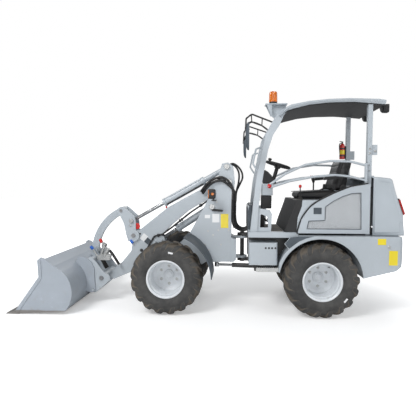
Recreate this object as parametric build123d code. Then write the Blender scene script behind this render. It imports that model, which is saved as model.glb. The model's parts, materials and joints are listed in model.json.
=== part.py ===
from build123d import *
import math
import os

# Compact yard loader, in millimetres. It is drawn with X = 0 and Y = 0 on the centre
# pivot between its two halves and Z = 0 on the ground. The front faces -X, the near
# side is -Y. At the end everything moves along X, so that the origin lies under the
# middle of the whole machine.

# Running gear
wheelbase = 1658
track = 980
tyre_od = 790
tyre_width = 320
tread_lugs = 17
tread_depth = 26
tread_lug_width = 38
tread_lean = 20
rim_od = 416
rim_width = 282
rim_wall = 9
rim_disc = 14
hub_radius = 58
hub_height = 22
spindle_radius = 35
spindle_length = 24
axle_flange_radius = 125
axle_tube_radius = 60
axle_flange_y = 368
diff_radius = 118
diff_length = 240

# Fits
pin_gap = 0.3
seat_gap = 0.3
door_gap = 6

# Centre pivot
pivot_pin_radius = 25
lug_radius = 58
lug_thickness = 28
lug_gap = 6
pivot_top = 834
pivot_low = 500

# Front frame
plate_inner = 170
plate_thickness = 20
tower_bottom = 456
fender_radius = 490
fender_thickness = 10
fender_outer = 640

# Lift arm: pins as X, Z
boom_pin = (-160, 1440)
tilt_anchor = (-183, 1619)
rocker_pin = (-1315, 795)
link_top = (-1465, 1097)
nose_pin = (-1668, 304)
lift_base = (-354, 1154)
lift_eye = (-990, 745)
boom_half = 70
boom_tube_radius = 70
boom_pin_radius = 25
hose_radius = 10
nose_tube_radius = 48
nose_tube_half = 216
cheek_inner = 76
cheek_thickness = 18
link_width = 84
link_half = 26
link_pin_radius = 18
cylinder_pin_radius = 20

# Cylinders
lift_barrel_radius = 42
lift_rod_radius = 22
lift_barrel_length = 520
tilt_tube_radius = 30
tilt_barrel_radius = 47
tilt_rod_radius = 21
tilt_tube_length = 310
tilt_barrel_length = 880
eye_radius = 36

# Bucket
bucket_width = 1380
bucket_wall = 12
bucket_end = 16
edge_bar = 6
lip_x = -2587
lip_thickness = 20
coupler_half = 240

# Rear half
rail_inner = 200
rail_thickness = 20
platform_top = 895
platform_thickness = 61
platform_front = 60
platform_back = 600
body_half = 550
body_top = 866
arch_radius = 440
arch_band = 35
skin = 14
cover_half = 455
panel_thickness = 15
tow_pin_radius = 16
hood_front = 1372
hood_wall = 12
hood_edge = 24
vent_half = 250
vent_slots = 7
hood_top = 1495
hood_pin_radius = 6
hood_knuckle_radius = 12
tail_x = 1706
box_front = 68
box_length = 312
box_low = 530
box_high = 777

# Cab
post_width = 50
post_depth = 48
guard_radius = 12.5
roof_edge = 16

# Widths that keep their step from the engine cover, and depths from the hood
platform_half = cover_half - 5
post_inner = cover_half - 80
pillar_y = post_inner + post_width / 2
roof_half = cover_half + 5
guard_y = cover_half - 10
hood_half = cover_half + 25
post_front = hood_front - 54
guard_x = post_front - 16

wheel_r = tyre_od / 2
front_x = -wheelbase / 2
rear_x = wheelbase / 2
wheel_y = track / 2
shift = -(lip_x + tail_x) / 2


def slab(sketch, y_low, y_high):
    """A side view in X and Z, made solid from y_low to y_high."""
    return extrude(Plane.XZ.offset(-y_high) * sketch, amount=y_high - y_low)


def outline(points, radius=0):
    """A closed side view through the points, with its corners rounded."""
    if radius == 0:
        return make_face(Polyline(*points, close=True))
    return make_face(FilletPolyline(*points, radius=radius, close=True))


def disc(centre, radius):
    return Pos(centre[0], centre[1]) * Circle(radius)


def cross_pin(centre, radius, y_low, y_high):
    return slab(disc(centre, radius), y_low, y_high)


def block(x0, x1, y0, y1, z0, z1):
    return Pos((x0 + x1) / 2, (y0 + y1) / 2, (z0 + z1) / 2) * Box(x1 - x0, y1 - y0, z1 - z0)


def pair(shape):
    """The near side shape and its mirror image on the far side."""
    return shape + mirror(shape, Plane.XZ)


def tube(points, radius, bend):
    """A round bar along straight runs with bends of one radius."""
    path = FilletPolyline(*points, radius=bend)
    start = Plane(origin=path @ 0, z_dir=path % 0)
    return sweep(start * Circle(radius), path=path)


def reach(start, end):
    return math.hypot(end[0] - start[0], end[1] - start[1])


def along(start, end, distance):
    """The point that lies a distance from start towards end, in X and Z."""
    share = distance / reach(start, end)
    return (start[0] + (end[0] - start[0]) * share, start[1] + (end[1] - start[1]) * share)


def rod_between(start, end, d0, d1, radius):
    """A round bar in the middle plane, from distance d0 to d1 on the line start-end."""
    a, b = along(start, end, d0), along(start, end, d1)
    axis = Plane(origin=(a[0], 0, a[1]), z_dir=(b[0] - a[0], 0, b[1] - a[1]))
    return extrude(axis * Circle(radius), amount=d1 - d0)


def arc_band(a, middle, b, width):
    """A flat bar that bends through three points."""
    (x1, z1), (x2, z2), (x3, z3) = a, middle, b
    d = 2 * (x1 * (z2 - z3) + x2 * (z3 - z1) + x3 * (z1 - z2))
    s1, s2, s3 = x1 * x1 + z1 * z1, x2 * x2 + z2 * z2, x3 * x3 + z3 * z3
    cx = (s1 * (z2 - z3) + s2 * (z3 - z1) + s3 * (z1 - z2)) / d
    cz = (s1 * (x3 - x2) + s2 * (x1 - x3) + s3 * (x2 - x1)) / d
    r = math.hypot(x1 - cx, z1 - cz)

    def moved(p, radius):
        return (cx + (p[0] - cx) * radius / r, cz + (p[1] - cz) * radius / r)

    outer = [moved(p, r + width / 2) for p in (a, middle, b)]
    inner = [moved(p, r - width / 2) for p in (a, middle, b)]
    edges = ThreePointArc(*outer) + Line(outer[2], inner[2]) + ThreePointArc(*inner[::-1]) + Line(inner[0], outer[0])
    return make_face(edges)


tilt_arm = (tilt_anchor[0] - boom_pin[0], tilt_anchor[1] - boom_pin[1])
rocker_eye = (rocker_pin[0] + tilt_arm[0], rocker_pin[1] + tilt_arm[1])
link_arm = (link_top[0] - rocker_pin[0], link_top[1] - rocker_pin[1])
link_low = (nose_pin[0] + link_arm[0], nose_pin[1] + link_arm[1])
cheek_outer = cheek_inner + cheek_thickness
plate_outer = plate_inner + plate_thickness
rail_outer = rail_inner + rail_thickness
post_outer = post_inner + post_width
parts = {}


# Wheels: the near side is drawn about the Y axis, with its outer face towards -Y
def ring_stack(sections, facets):
    """A ring with flat facets through sections of radius and y."""
    rings = [Plane.XZ.offset(-y) * RegularPolygon(radius, facets, rotation=-90) for radius, y in sections]
    return loft(rings, ruled=True)


def tyre():
    half = tyre_width / 2
    base = wheel_r - tread_depth
    facets = 2 * tread_lugs
    bead = (rim_od / 2 - 10) / math.cos(math.pi / facets)
    body = ring_stack([(wheel_r - 85, -half), (base, -half + 30), (base, half - 30), (wheel_r - 85, half)], facets)
    body -= ring_stack([(wheel_r - 100, -half - 0.5), (bead, -half + 35), (bead, half - 35),
                        (wheel_r - 100, half + 0.5)], facets)
    # A lug runs from the middle of the tread over the shoulder; its farthest corner just meets the ground
    lean = math.radians(tread_lean)
    corner = tread_lug_width / 2 * math.cos(lean) + (half / 2 + 4) * math.sin(lean)
    top = math.sqrt(wheel_r ** 2 - corner ** 2)
    side = make_face(Polyline(
        (-4, base - 14), (-4, top), (half - 24, top), (half - 2, wheel_r - 72), (half - 50, base - 14), close=True
    ))
    lug = extrude(Plane.YZ * side, amount=tread_lug_width / 2, both=True)
    lug = Pos(0, half / 2, 0) * Rot(0, 0, tread_lean) * Pos(0, -half / 2, 0) * lug
    pitch = 360 / tread_lugs
    rows = [Rot(0, pitch * k, 0) * lug for k in range(tread_lugs)]
    rows += [Rot(0, pitch * (k + 0.5), 0) * mirror(lug, Plane.XZ) for k in range(tread_lugs)]
    return Rot(0, -math.degrees(math.atan(corner / top)), 0) * body.fuse(*rows)


def rim():
    half = rim_width / 2
    flange = rim_od / 2
    outer = flange - 10 - seat_gap
    inner = outer - rim_wall
    seat = wheel_y - axle_flange_y
    face = seat - rim_disc
    # r, y, outside first; the disc lies deep in the rim, near its inner side
    section = [
        (0, face - hub_height),
        (hub_radius - 6, face - hub_height),
        (hub_radius, face - hub_height + 6),
        (hub_radius, face),
        (axle_flange_radius + 12, face),
        (inner - 12, face - 20),
        (inner - 12, -half + 62),
        (inner, -half + 48),
        (inner, -half + 6),
        (flange - 12, -half),
        (flange, -half),
        (flange, -half + 8),
        (outer, -half + 14),
        (outer, half - 14),
        (flange, half - 8),
        (flange, half),
        (flange - 12, half),
        (inner, half - 6),
        (inner, seat - 16),
        (axle_flange_radius + 8, seat - seat_gap),
        (spindle_radius + pin_gap, seat - seat_gap),
        (spindle_radius + pin_gap, seat - spindle_length - 2),
        (0, seat - spindle_length - 2),
    ]
    return revolve(make_face(Polyline(*section, close=True)), Axis.Y)


wheel_shapes = {"tyre": tyre(), "rim": rim()}
for end, x in (("front", front_x), ("rear", rear_x)):
    for side, name in ((-1, "near"), (1, "far")):
        for kind, shape in wheel_shapes.items():
            if side == 1:
                shape = mirror(shape, Plane.XZ)
            parts[f"{kind}_{end}_{name}"] = Pos(x, side * wheel_y, wheel_r) * shape


# Axles, with the saddle that carries each half of the machine
def axle(x):
    turn = Rot(90, 0, 0)
    beam = Pos(x, 0, wheel_r) * turn * Cylinder(axle_tube_radius, 2 * axle_flange_y)
    middle = Pos(x, 0, wheel_r) * turn * Cylinder(diff_radius, diff_length)
    flange = cross_pin((x, wheel_r), axle_flange_radius, -axle_flange_y, -axle_flange_y + 26)
    spindle = cross_pin((x, wheel_r), spindle_radius, -axle_flange_y - spindle_length, -axle_flange_y)
    saddle = block(x - 70, x + 70, -rail_outer, -plate_inner + 20, wheel_r, tower_bottom)
    return beam + middle + pair(flange + spindle + saddle)


parts["front_axle"] = axle(front_x)
parts["rear_axle"] = axle(rear_x)


# Front frame: two side plates that rise into the tower, tied by walls and pins
def front_frame():
    side = outline(
        [
            (-238, 1656), (-169, 1667), (-110, 1627), (-95, 1500), (-95, 1370), (-130, 1290),
            (-130, 800), (-110, 780), (-110, 510), (-420, 510), (-500, tower_bottom),
            (front_x - 110, tower_bottom), (front_x - 110, 560), (-760, 700), (-629, 823),
            (-459, 1129), (-307, 1420),
        ]
    )
    frame = pair(slab(side, -plate_outer, -plate_inner))
    frame += block(-150, -130, -plate_inner, plate_inner, 562, 1290)
    frame += block(-640, -130, -plate_inner, plate_inner, 562, 580)
    frame += block(-655, -637, -plate_inner, plate_inner, 562, 760)
    frame += cross_pin(boom_pin, boom_pin_radius, -plate_outer - 14, plate_outer + 14)
    frame += cross_pin(tilt_anchor, cylinder_pin_radius, -plate_outer - 10, plate_outer + 10)
    frame += cross_pin(lift_base, cylinder_pin_radius, -plate_outer - 10, plate_outer + 10)
    lug = Pos(0, 0, 0) * Cylinder(lug_radius, lug_thickness)
    lug += block(-150, 0, -lug_radius, lug_radius, -lug_thickness / 2, lug_thickness / 2)
    bore = Cylinder(pivot_pin_radius + pin_gap, 3 * lug_thickness)
    for z in (pivot_top - 1.5 * lug_thickness - lug_gap, pivot_low + 1.5 * lug_thickness + lug_gap):
        frame += Pos(0, 0, z) * (lug - bore)
    # Hanger over the rod eye of the steering cylinder
    frame += block(-345, -255, -plate_inner, -60, 502, 518)
    frame += block(-345, -255, -plate_inner, -60, 518, 562) - block(-325, -275, -150, -80, 518, 562)
    return frame


def front_fenders():
    ring = disc((front_x, wheel_r), fender_radius + fender_thickness) - disc((front_x, wheel_r), fender_radius)
    span = outline([(front_x, wheel_r), (front_x + 700, wheel_r + 10), (front_x + 700, wheel_r + 700),
                    (-560, 1010)])
    return pair(slab(ring & span, -fender_outer, -plate_outer))


parts["front_frame"] = front_frame()
parts["front_fenders"] = front_fenders()


def trough_corner(distance, height):
    """A point that lies a distance along the line boom_pin-rocker_pin and a height above it."""
    x, z = along(boom_pin, rocker_pin, distance)
    run = reach(boom_pin, rocker_pin)
    rise = ((rocker_pin[1] - boom_pin[1]) / run, (boom_pin[0] - rocker_pin[0]) / run)
    return (x + rise[0] * height, z + rise[1] * height)


# Boom: one bent box from the tower down to the cross tube of the nose
def boom():
    side = outline(
        [
            (-215, 1508), (-504, 1350), (-885, 1146), (-1240, 866), (-1345, 850), (-1392, 790),
            (-1370, 735), (-1338, 678), (-1351, 604), (-1465, 467), (-1617, 341), (-1668, 304),
            (-1568, 254), (-1292, 371), (-1150, 540), (-1027, 750), (-852, 926), (-655, 1092),
            (-504, 1182), (-130, 1376),
        ]
    )
    side += disc(boom_pin, boom_tube_radius) + disc(lift_eye, 55) + disc(nose_pin, nose_tube_radius)
    arm = slab(side, -boom_half, boom_half)
    arm += cross_pin(boom_pin, boom_tube_radius - 8, -plate_inner + 5, plate_inner - 5)
    arm += cross_pin(nose_pin, nose_tube_radius, -nose_tube_half, nose_tube_half)
    arm += pair(cross_pin(lift_eye, 26, -boom_half - 14, -boom_half))
    arm += cross_pin(rocker_pin, 50, -boom_half - 4, boom_half + 4)
    # Pocket for the rod eye of the lift cylinder
    back = along(lift_eye, lift_base, 220)
    low = (lift_eye[0] + 40, lift_eye[1] - 150)
    pocket = disc(lift_eye, 60) + outline([(lift_eye[0] - 60, lift_eye[1]), lift_eye, back, low,
                                           (lift_eye[0] - 60, lift_eye[1] - 150)])
    pocket += outline([(lift_eye[0] + 10, lift_eye[1] + 59), (back[0] - 20, back[1] + 40), back, lift_eye])
    arm -= slab(pocket, -36, 36)
    # Trough that the tilt cylinder sinks into when the arm is up
    trough = [trough_corner(distance, height) for distance, height in (
        (tilt_tube_length - 85, 73), (tilt_tube_length + 700, 73), (tilt_tube_length + 700, 140),
        (tilt_tube_length - 85, 140),
    )]
    arm -= slab(outline(trough), -tilt_barrel_radius - 10, tilt_barrel_radius + 10)
    arm -= cross_pin(boom_pin, boom_pin_radius + pin_gap, -plate_outer, plate_outer)
    arm -= cross_pin(rocker_pin, boom_pin_radius + pin_gap, -plate_outer, plate_outer)
    arm -= cross_pin(nose_pin, boom_pin_radius + pin_gap, -coupler_half, coupler_half)
    return arm


def boom_hoses():
    """A hose on each side of the boom, under clips that are fixed to it."""
    y = boom_half + hose_radius
    run = [(-425, 1212), (-640, 1065), (-850, 895), (-962, 812), (-1060, 790), (-1120, 690), (-1200, 545)]
    hoses = tube([(x, -y, z) for x, z in run], hose_radius, 45)
    for x, z in ((-500, 1161), (-745, 980), (-1011, 801), (-1165, 608)):
        hoses += block(x - 13, x + 13, -y - hose_radius - 4, -boom_half, z - 17, z + 17)
    return pair(hoses)


# Rocker: two cheeks beside the boom, tied by one web
def rocker():
    side = outline(
        [
            (-1440, 1146), (-1398, 1120), (-1300, 1030), (-1284, 960), (-1284, 840), (-1250, 780),
            (-1300, 720), (-1380, 724), (-1404, 805), (-1430, 940), (-1480, 1040), (-1510, 1090),
        ],
        12,
    )
    side += disc(link_top, 44) + disc(rocker_pin, 72) + disc(rocker_eye, 46)
    cheek = slab(side, -cheek_outer, -cheek_inner)
    cheek += cross_pin(rocker_eye, 26, -cheek_outer - 12, -cheek_outer)
    web = slab(outline([(-1428, 905), (-1415, 905), (-1429, 1000), (-1442, 1000)]), -cheek_inner, cheek_inner)
    plates = pair(cheek) + web
    plates -= cross_pin(link_top, link_pin_radius + pin_gap, -cheek_outer - 20, cheek_outer + 20)
    plates -= cross_pin(rocker_pin, boom_pin_radius + pin_gap, -cheek_outer - 20, cheek_outer + 20)
    return plates


def link():
    middle = (-1692, 925)
    bar = slab(arc_band(link_top, middle, link_low, link_width), -link_half, link_half)
    bar += cross_pin(link_top, link_width / 2 + 3, -cheek_inner + 6, cheek_inner - 6)
    bar += cross_pin(link_low, link_width / 2 + 3, -link_half - 18, link_half + 18)
    bar -= cross_pin(link_top, link_pin_radius + pin_gap, -cheek_inner, cheek_inner)
    bar -= cross_pin(link_low, link_pin_radius + pin_gap, -cheek_inner, cheek_inner)
    return bar


parts["boom"] = boom()
parts["boom_hoses"] = boom_hoses()
parts["rocker"] = rocker()
parts["link"] = link()
parts["rocker_pin"] = cross_pin(rocker_pin, boom_pin_radius, -cheek_outer - 8, cheek_outer + 8)
parts["link_pin"] = cross_pin(link_top, link_pin_radius, -cheek_outer - 8, cheek_outer + 8)
parts["nose_pin"] = cross_pin(nose_pin, boom_pin_radius, -coupler_half - 10, coupler_half + 10)


# Cylinders lie in the middle plane; each barrel is bored for its rod
def barrel(base, eye, pieces, bore, bore_start, half):
    """pieces holds start, end and radius of each stretch, from the base pin on."""
    body = cross_pin(base, eye_radius, -half, half)
    for start, end, radius in pieces:
        body += rod_between(base, eye, start, end, radius)
    body -= cross_pin(base, cylinder_pin_radius + pin_gap, -half, half)
    return body - rod_between(base, eye, bore_start, pieces[-1][1] + 1, bore + pin_gap)


def rod(base, eye, start, radius, half):
    length = reach(base, eye)
    body = rod_between(base, eye, start, length - 20, radius)
    body += cross_pin(eye, eye_radius, -half, half)
    return body - cross_pin(eye, cylinder_pin_radius, -half, half)


parts["lift_barrel"] = barrel(
    lift_base, lift_eye,
    [(20, lift_barrel_length - 40, lift_barrel_radius), (lift_barrel_length - 40, lift_barrel_length, 46)],
    lift_rod_radius, 70, 45,
)
parts["lift_rod"] = rod(lift_base, lift_eye, 90, lift_rod_radius, 30)
parts["tilt_barrel"] = barrel(
    tilt_anchor, rocker_eye,
    [
        (20, tilt_tube_length + 10, tilt_tube_radius),
        (tilt_tube_length, tilt_barrel_length - 30, tilt_barrel_radius),
        (tilt_barrel_length - 30, tilt_barrel_length, tilt_barrel_radius + 4),
    ],
    tilt_rod_radius, 330, 50,
)
parts["tilt_rod"] = rod(tilt_anchor, rocker_eye, 480, tilt_rod_radius, 66)

# Steering cylinder, level under the centre pivot on the near side: X, Y of its two pins
steer_z = 462
steer_base = (170, -160)
steer_eye = (-300, -110)
steer_barrel_length = 290
steer_radius = 26
steer_rod_radius = 15


def steer_bar(d0, d1, radius):
    a, b = along(steer_base, steer_eye, d0), along(steer_base, steer_eye, d1)
    axis = Plane(origin=(a[0], a[1], steer_z), z_dir=(b[0] - a[0], b[1] - a[1], 0))
    return extrude(axis * Circle(radius), amount=d1 - d0)


def steer_knuckle(centre, radius, height):
    return Pos(centre[0], centre[1], steer_z) * Cylinder(radius, height)


parts["steer_barrel"] = (
    steer_bar(10, steer_barrel_length, steer_radius) + steer_knuckle(steer_base, 26, 50)
    - steer_knuckle(steer_base, 12 + pin_gap, 60)
    - steer_bar(40, steer_barrel_length + 1, steer_rod_radius + pin_gap)
)
parts["steer_rod"] = steer_bar(142, reach(steer_base, steer_eye) - 10, steer_rod_radius) + steer_knuckle(
    steer_eye, 26, 44
)


# Coupler and bucket
def coupler():
    side = outline(
        [
            (-1870, 500), (-1800, 560), (-1722, 487), (-1640, 375), (-1571, 332), (-1559, 284),
            (-1640, 215), (-1740, 128), (-1800, 140), (-1822, 300),
        ],
        14,
    )
    side = slab(side, -coupler_half, -coupler_half + 16)
    # Nothing but the pin crosses the cross tube of the nose
    frame = pair(side)
    top_bar = (nose_pin[0] - 122, nose_pin[1] + 216)
    low_bar = (nose_pin[0] - 77, nose_pin[1] - 154)
    frame += cross_pin(top_bar, 30, -coupler_half + 16, coupler_half - 16)
    frame += cross_pin(low_bar, 20, -coupler_half + 16, coupler_half - 16)
    ear = outline([
        (top_bar[0] - 40, top_bar[1] - 10), (link_low[0] - 36, link_low[1] - 10),
        (link_low[0] + 36, link_low[1] + 10), (top_bar[0] + 40, top_bar[1] + 5),
    ]) + disc(link_low, 38) + disc(top_bar, 42)
    frame += pair(slab(ear, -link_half - 40, -link_half - 24))
    frame += cross_pin(link_low, link_pin_radius, -link_half - 48, link_half + 48)
    frame += pair(cross_pin((-1762, 168), 15, -coupler_half - 34, -coupler_half))
    frame -= cross_pin(nose_pin, boom_pin_radius + pin_gap, -coupler_half - 1, coupler_half + 1)
    return frame


def bucket():
    low, back, shoulder, top = (-1925, 38), (-1841, 250), (-2040, 535), (-2137, 613)
    front = (lip_x + 137, 8)
    profile = make_face(
        Line(front, low) + ThreePointArc(low, back, shoulder) + Line(shoulder, top) + Line(top, front)
    )
    inner = offset(profile, -bucket_wall)
    hollow = inner + Pos(-14, 6) * inner + Pos(-28, 12) * inner
    half = bucket_width / 2
    shell = slab(profile, -half + 8, half - 8) - slab(hollow, -half, half)
    end = make_face(
        Polyline(top, (-2182, 627), (-2216, 595), (-2206, 413), (-2476, 40), (lip_x, 3), (front[0], 3), low)
        + ThreePointArc(low, back, shoulder) + Line(shoulder, top)
    )
    shell += pair(slab(end, -half + edge_bar, -half + edge_bar + bucket_end))
    bar = outline([(-2216, 595), (-2206, 413), (-2476, 40), (-2430, 40), (-2169, 402), (-2178, 600)])
    shell += pair(slab(bar, -half, -half + edge_bar + 1))
    edge = outline([(lip_x, 3), (lip_x + 157, 3), (lip_x + 157, 3 + lip_thickness),
                    (lip_x + 30, 3 + lip_thickness)])
    shell += slab(edge, -half, half)
    bracket = outline([
        (-1990, 470), (-1941, 557), (-1863, 560), (-1779, 492), (-1753, 425), (-1737, 148),
        (-1785, 131), (-1900, 160),
    ])
    inside = slab(profile, -half, half)
    shell += pair(slab(bracket, -coupler_half - 16, -coupler_half) - inside)
    shell -= pair(cross_pin((-1762, 168), 15 + pin_gap, -coupler_half - 40, -coupler_half + 1))
    return shell


parts["coupler"] = coupler()
parts["bucket"] = bucket()


# Rear half: two rails with cross walls and the lugs of the centre pivot
def rear_chassis():
    side = outline([
        (75, 500), (75, platform_top - platform_thickness), (600, platform_top - platform_thickness),
        (640, 640), (1260, 640), (1260, tower_bottom), (300, tower_bottom), (200, 500),
    ])
    frame = pair(slab(side, -rail_outer, -rail_inner))
    frame += block(75, 95, -rail_inner, rail_inner, 528, platform_top - platform_thickness)
    frame += block(560, 580, -rail_inner, rail_inner, tower_bottom, 760)
    frame += block(1200, 1220, -rail_inner, rail_inner, tower_bottom, 640)
    lug = Cylinder(lug_radius, lug_thickness) + block(
        0, 95, -lug_radius, lug_radius, -lug_thickness / 2, lug_thickness / 2
    )
    for z in (pivot_top - lug_thickness / 2, pivot_low + lug_thickness / 2):
        frame += Pos(0, 0, z) * lug
    frame += Pos(0, 0, (pivot_top + pivot_low) / 2) * Cylinder(
        pivot_pin_radius, pivot_top - pivot_low + 24
    )
    # Bracket for the barrel of the steering cylinder, with its upright pin
    x, y = steer_base
    frame += block(x - 30, x + 30, -rail_inner, -120, 496, 512)
    frame += block(x - 30, x + 30, -rail_inner, -120, 412, 428)
    frame += block(x - 30, x + 30, -rail_outer, -rail_inner, 412, 512)
    frame += Pos(x, y, steer_z) * Cylinder(12, 88)
    return frame


def platform():
    floor = block(platform_front, platform_back, -platform_half, platform_half,
                  platform_top - platform_thickness, platform_top)
    cowl = block(platform_front, platform_front + 22, -350, 350, platform_top, 1170)
    return floor + cowl


def side_boxes():
    box = block(box_front, box_front + box_length, -platform_half, -rail_outer, box_low, box_high)
    return pair(fillet(box.edges().filter_by(Axis.Z).group_by(Axis.Y)[0], 18))


def steps():
    x0, x1 = box_front + 79, box_front + 315
    tray = block(x0, x1, -470, -330, 459, 503) - block(x0 + 10, x1 - 10, -460, -340, 470, 503)
    legs = block(x0, x0 + 10, -440, -340, 503, box_low) + block(x1 - 10, x1, -440, -340, 503, box_low)
    return pair(tray + legs)


def counterweight():
    side = outline([
        (1200, body_top), (1200, 419), (1252, 419), (1435, 465), (1597, 505), (1656, 553),
        (1674, 649), (1676, 754), (1663, 837), (1655, body_top),
    ])
    side -= disc((rear_x, wheel_r), arch_radius)
    plan = Pos((1100 + 1676) / 2, 0) * Rectangle(1676 - 1100, 2 * body_half)
    plan = fillet(plan.vertices().group_by(Axis.X)[-1], 60)
    block_body = slab(side, -body_half, body_half) & (Pos(0, 0, 300) * extrude(plan, amount=700))
    block_body -= block(1180, 1260, -rail_outer - 2, rail_outer + 2, 400, body_top + 1)
    block_body += block(1560, 1645, -60, 60, 490, 575)
    block_body -= block(1550, 1700, -60, 60, 575, 645)
    block_body -= Pos(1600, 0, 590) * Cylinder(tow_pin_radius, 220)
    return block_body


def rear_fenders():
    centre = (rear_x, wheel_r)
    hub = disc(centre, arch_radius)
    bow = disc(centre, arch_radius + arch_band)
    upper = outline([(440, 780), (500, 850), (590, body_top), (1200, body_top), (1200, 600), (600, 600)])
    limits = outline([(389, 470), (389, body_top), (1200, body_top), (1200, 470)])
    face = ((bow + upper) & limits) - hub
    side = slab(face, -body_half, -body_half + skin)
    liner = slab((disc(centre, arch_radius + skin) & limits) - hub, -body_half + skin, -rail_outer)
    top = block(596, 1200, -body_half + skin, -cover_half, body_top - skin, body_top)
    return pair(side + liner + top)


parts["rear_chassis"] = rear_chassis()
parts["platform"] = platform()
parts["side_boxes"] = side_boxes()
parts["steps"] = steps()
parts["counterweight"] = counterweight()
parts["rear_fenders"] = rear_fenders()
parts["engine"] = block(640, 1180, -190, 190, 660, 1120) + pair(
    block(700, 780, -rail_outer, -180, 640, 690) + block(1040, 1120, -rail_outer, -180, 640, 690)
)

grille_face = outline([
    (686, 935), (705, 1022), (877, 1030), (877, 1173), (964, 1238), (1057, 1286), (1150, 1318),
    (1248, 1324), (1257, 935),
])


def engine_cover():
    back = post_front - 6
    outer = outline([(455, platform_top), (480, 976), (575, 1243), (1130, 1243), (back, 1400),
                     (back, platform_top)])
    inner = outline([(470, platform_top - 1), (495, 972), (586, 1229), (1136, 1229), (back + 1, 1382),
                     (back + 1, platform_top - 1)])
    cover = slab(outer, -cover_half, cover_half) - slab(inner, -cover_half + skin, cover_half - skin)
    return cover - slab(grille_face, -cover_half - 1, cover_half + 1)


def side_panels():
    face = outline([
        (593, 887), (593, 907), (634, 1043), (717, 1162), (800, 1227), (976, 1318), (1131, 1382),
        (hood_front - 45, 1419), (hood_front - 27, 1419), (hood_front - 27, 887),
    ])
    return pair(slab(face - grille_face, -cover_half - panel_thickness, -cover_half))


def hood_line(inset):
    """The back of the hood in side view, from its top edge down, set in by a wall."""
    # back of tail_x, below hood_top
    corners = [(139, 19), (94, 181), (16, 402), (14, 476)]
    line = [(hood_front + 62, hood_top - 3 - inset)]
    line += [(tail_x - back - 0.85 * inset, hood_top - down - 0.4 * inset) for back, down in corners]
    return line + [(tail_x - inset, 892)]


def hood():
    low = body_top + door_gap
    side = outline([(hood_front, hood_top)] + hood_line(0) + [(tail_x, low), (hood_front, low)])
    inner = outline([(hood_front - 1, hood_top - hood_wall)] + hood_line(hood_wall)
                    + [(tail_x - hood_wall, low - 6), (hood_front - 1, low - 6)])
    shell = slab(side, -hood_half, hood_half)
    rims = [edge for edge in shell.edges() if abs(edge.center().Y) > hood_half - 1
            and edge.center().Z > low + 1 and edge.center().X > hood_front + 1]
    shell = fillet(rims, hood_edge)
    shell -= slab(inner, -hood_half + hood_wall, hood_half - hood_wall)
    # Slots of the air outlet in the slope of the tail
    (x0, z0), (x1, z1) = hood_line(0)[2:4]
    for k in range(vent_slots):
        share = 0.14 + 0.72 * k / (vent_slots - 1)
        x, z = x0 + (x1 - x0) * share, z0 + (z1 - z0) * share
        shell -= block(x - 30, x + 20, -vent_half, vent_half, z - 6, z + 6)
    # Hinge at the top front corner, on the pins of the rear posts
    corner = (hood_front, hood_top)
    shell -= pair(cross_pin(corner, hood_knuckle_radius + 2, -post_outer - 2, -post_outer + 27))
    shell += pair(cross_pin(corner, hood_knuckle_radius, -post_outer - 35, -post_outer - 2))
    return shell - pair(cross_pin(corner, hood_pin_radius + pin_gap, -post_outer - 40, -post_outer))


parts["engine_cover"] = engine_cover()
parts["side_panels"] = side_panels()
slots = Sketch() + [Pos(x, 1130) * Rectangle(14, 500) for x in range(716, 1250, 30)]
grille_sheet = grille_face - (offset(grille_face, -26) & slots)
parts["grilles"] = pair(slab(grille_sheet, -cover_half - 5, -cover_half + 1))
parts["hood"] = hood()
lamp = outline([(tail_x - 72, 1250), (tail_x - 61, 1254), (tail_x - 5, 1095), (tail_x - 16, 1091)])
parts["tail_lamps"] = pair(slab(lamp, -hood_half + 10, -hood_half + 80)) - parts["hood"]


# Cab frame, roof and what they carry
def front_pillars():
    side = outline([
        (81, platform_top), (106, 1144), (142, 1463), (205, 1789), (247, 1973), (299, 2069),
        (352, 2154), (430, 2230), (500, 2230), (437, 2160), (386, 2047), (322, 1950), (270, 1789),
        (213, 1474), (172, 1155), (158, platform_top),
    ])
    gusset = outline([(140, platform_top), (160, 1155), (298, 1134), (320, 1090), (311, platform_top)])
    window = outline([(190, 940), (196, 1090), (270, 1060), (280, 940)], 10)
    pillar = slab(side, -post_inner - post_width, -post_inner)
    plate = slab(gusset - side - window, -pillar_y - 6, -pillar_y + 6)
    return pair(pillar + plate) - roof_solid()


def roof_solid():
    top = [(430, 2206), (461, 2242), (513, 2267), (701, 2301), (908, 2319), (1114, 2323), (1420, 2311), (1492, 2299)]
    under = [(1483, 2253), (1371, 2265), (1166, 2284), (909, 2282), (649, 2255), (462, 2200), (399, 2143), (380, 2150)]
    sheet = slab(outline(top + under), -roof_half, roof_half)
    middles = [((x0 + x1) / 2, (z0 + z1) / 2) for (x0, z0), (x1, z1) in zip(top, top[1:])]
    rims = [edge for edge in sheet.edges() if abs(edge.center().Y) > roof_half - 1
            and any(math.hypot(edge.center().X - x, edge.center().Z - z) < 1 for x, z in middles)]
    return fillet(rims, roof_edge)


def rear_posts():
    post = block(post_front, post_front + post_depth, -post_inner - post_width, -post_inner,
                 body_top, 2300)
    hinge = block(post_front + 23, post_front + 106, -pillar_y - 12, -pillar_y + 12, 1729, 1835) - block(
        post_front, post_front + post_depth, -pillar_y - 12, -pillar_y + 12, 1729, 1835
    )
    lug = block(guard_x - 12, post_front + 10, -guard_y - 18, -post_inner - post_width + 10, 1421, 1435)
    lug += Pos(guard_x, -guard_y, 1460) * Cylinder(8, 60)
    lug -= block(post_front, post_front + 60, -post_inner - post_width, -post_inner, 1400, 1500)
    corner = (hood_front, hood_top)
    lug += slab(disc(corner, hood_knuckle_radius) + outline([
        (post_front + 20, hood_top - 30), corner, (hood_front, hood_top + hood_knuckle_radius),
        (post_front + 20, hood_top + hood_knuckle_radius),
    ]), -post_outer, -post_outer + 25)
    lug += cross_pin(corner, hood_pin_radius, -post_outer - 38, -post_outer)
    return pair(post + hinge + lug) - roof_solid()


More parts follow.
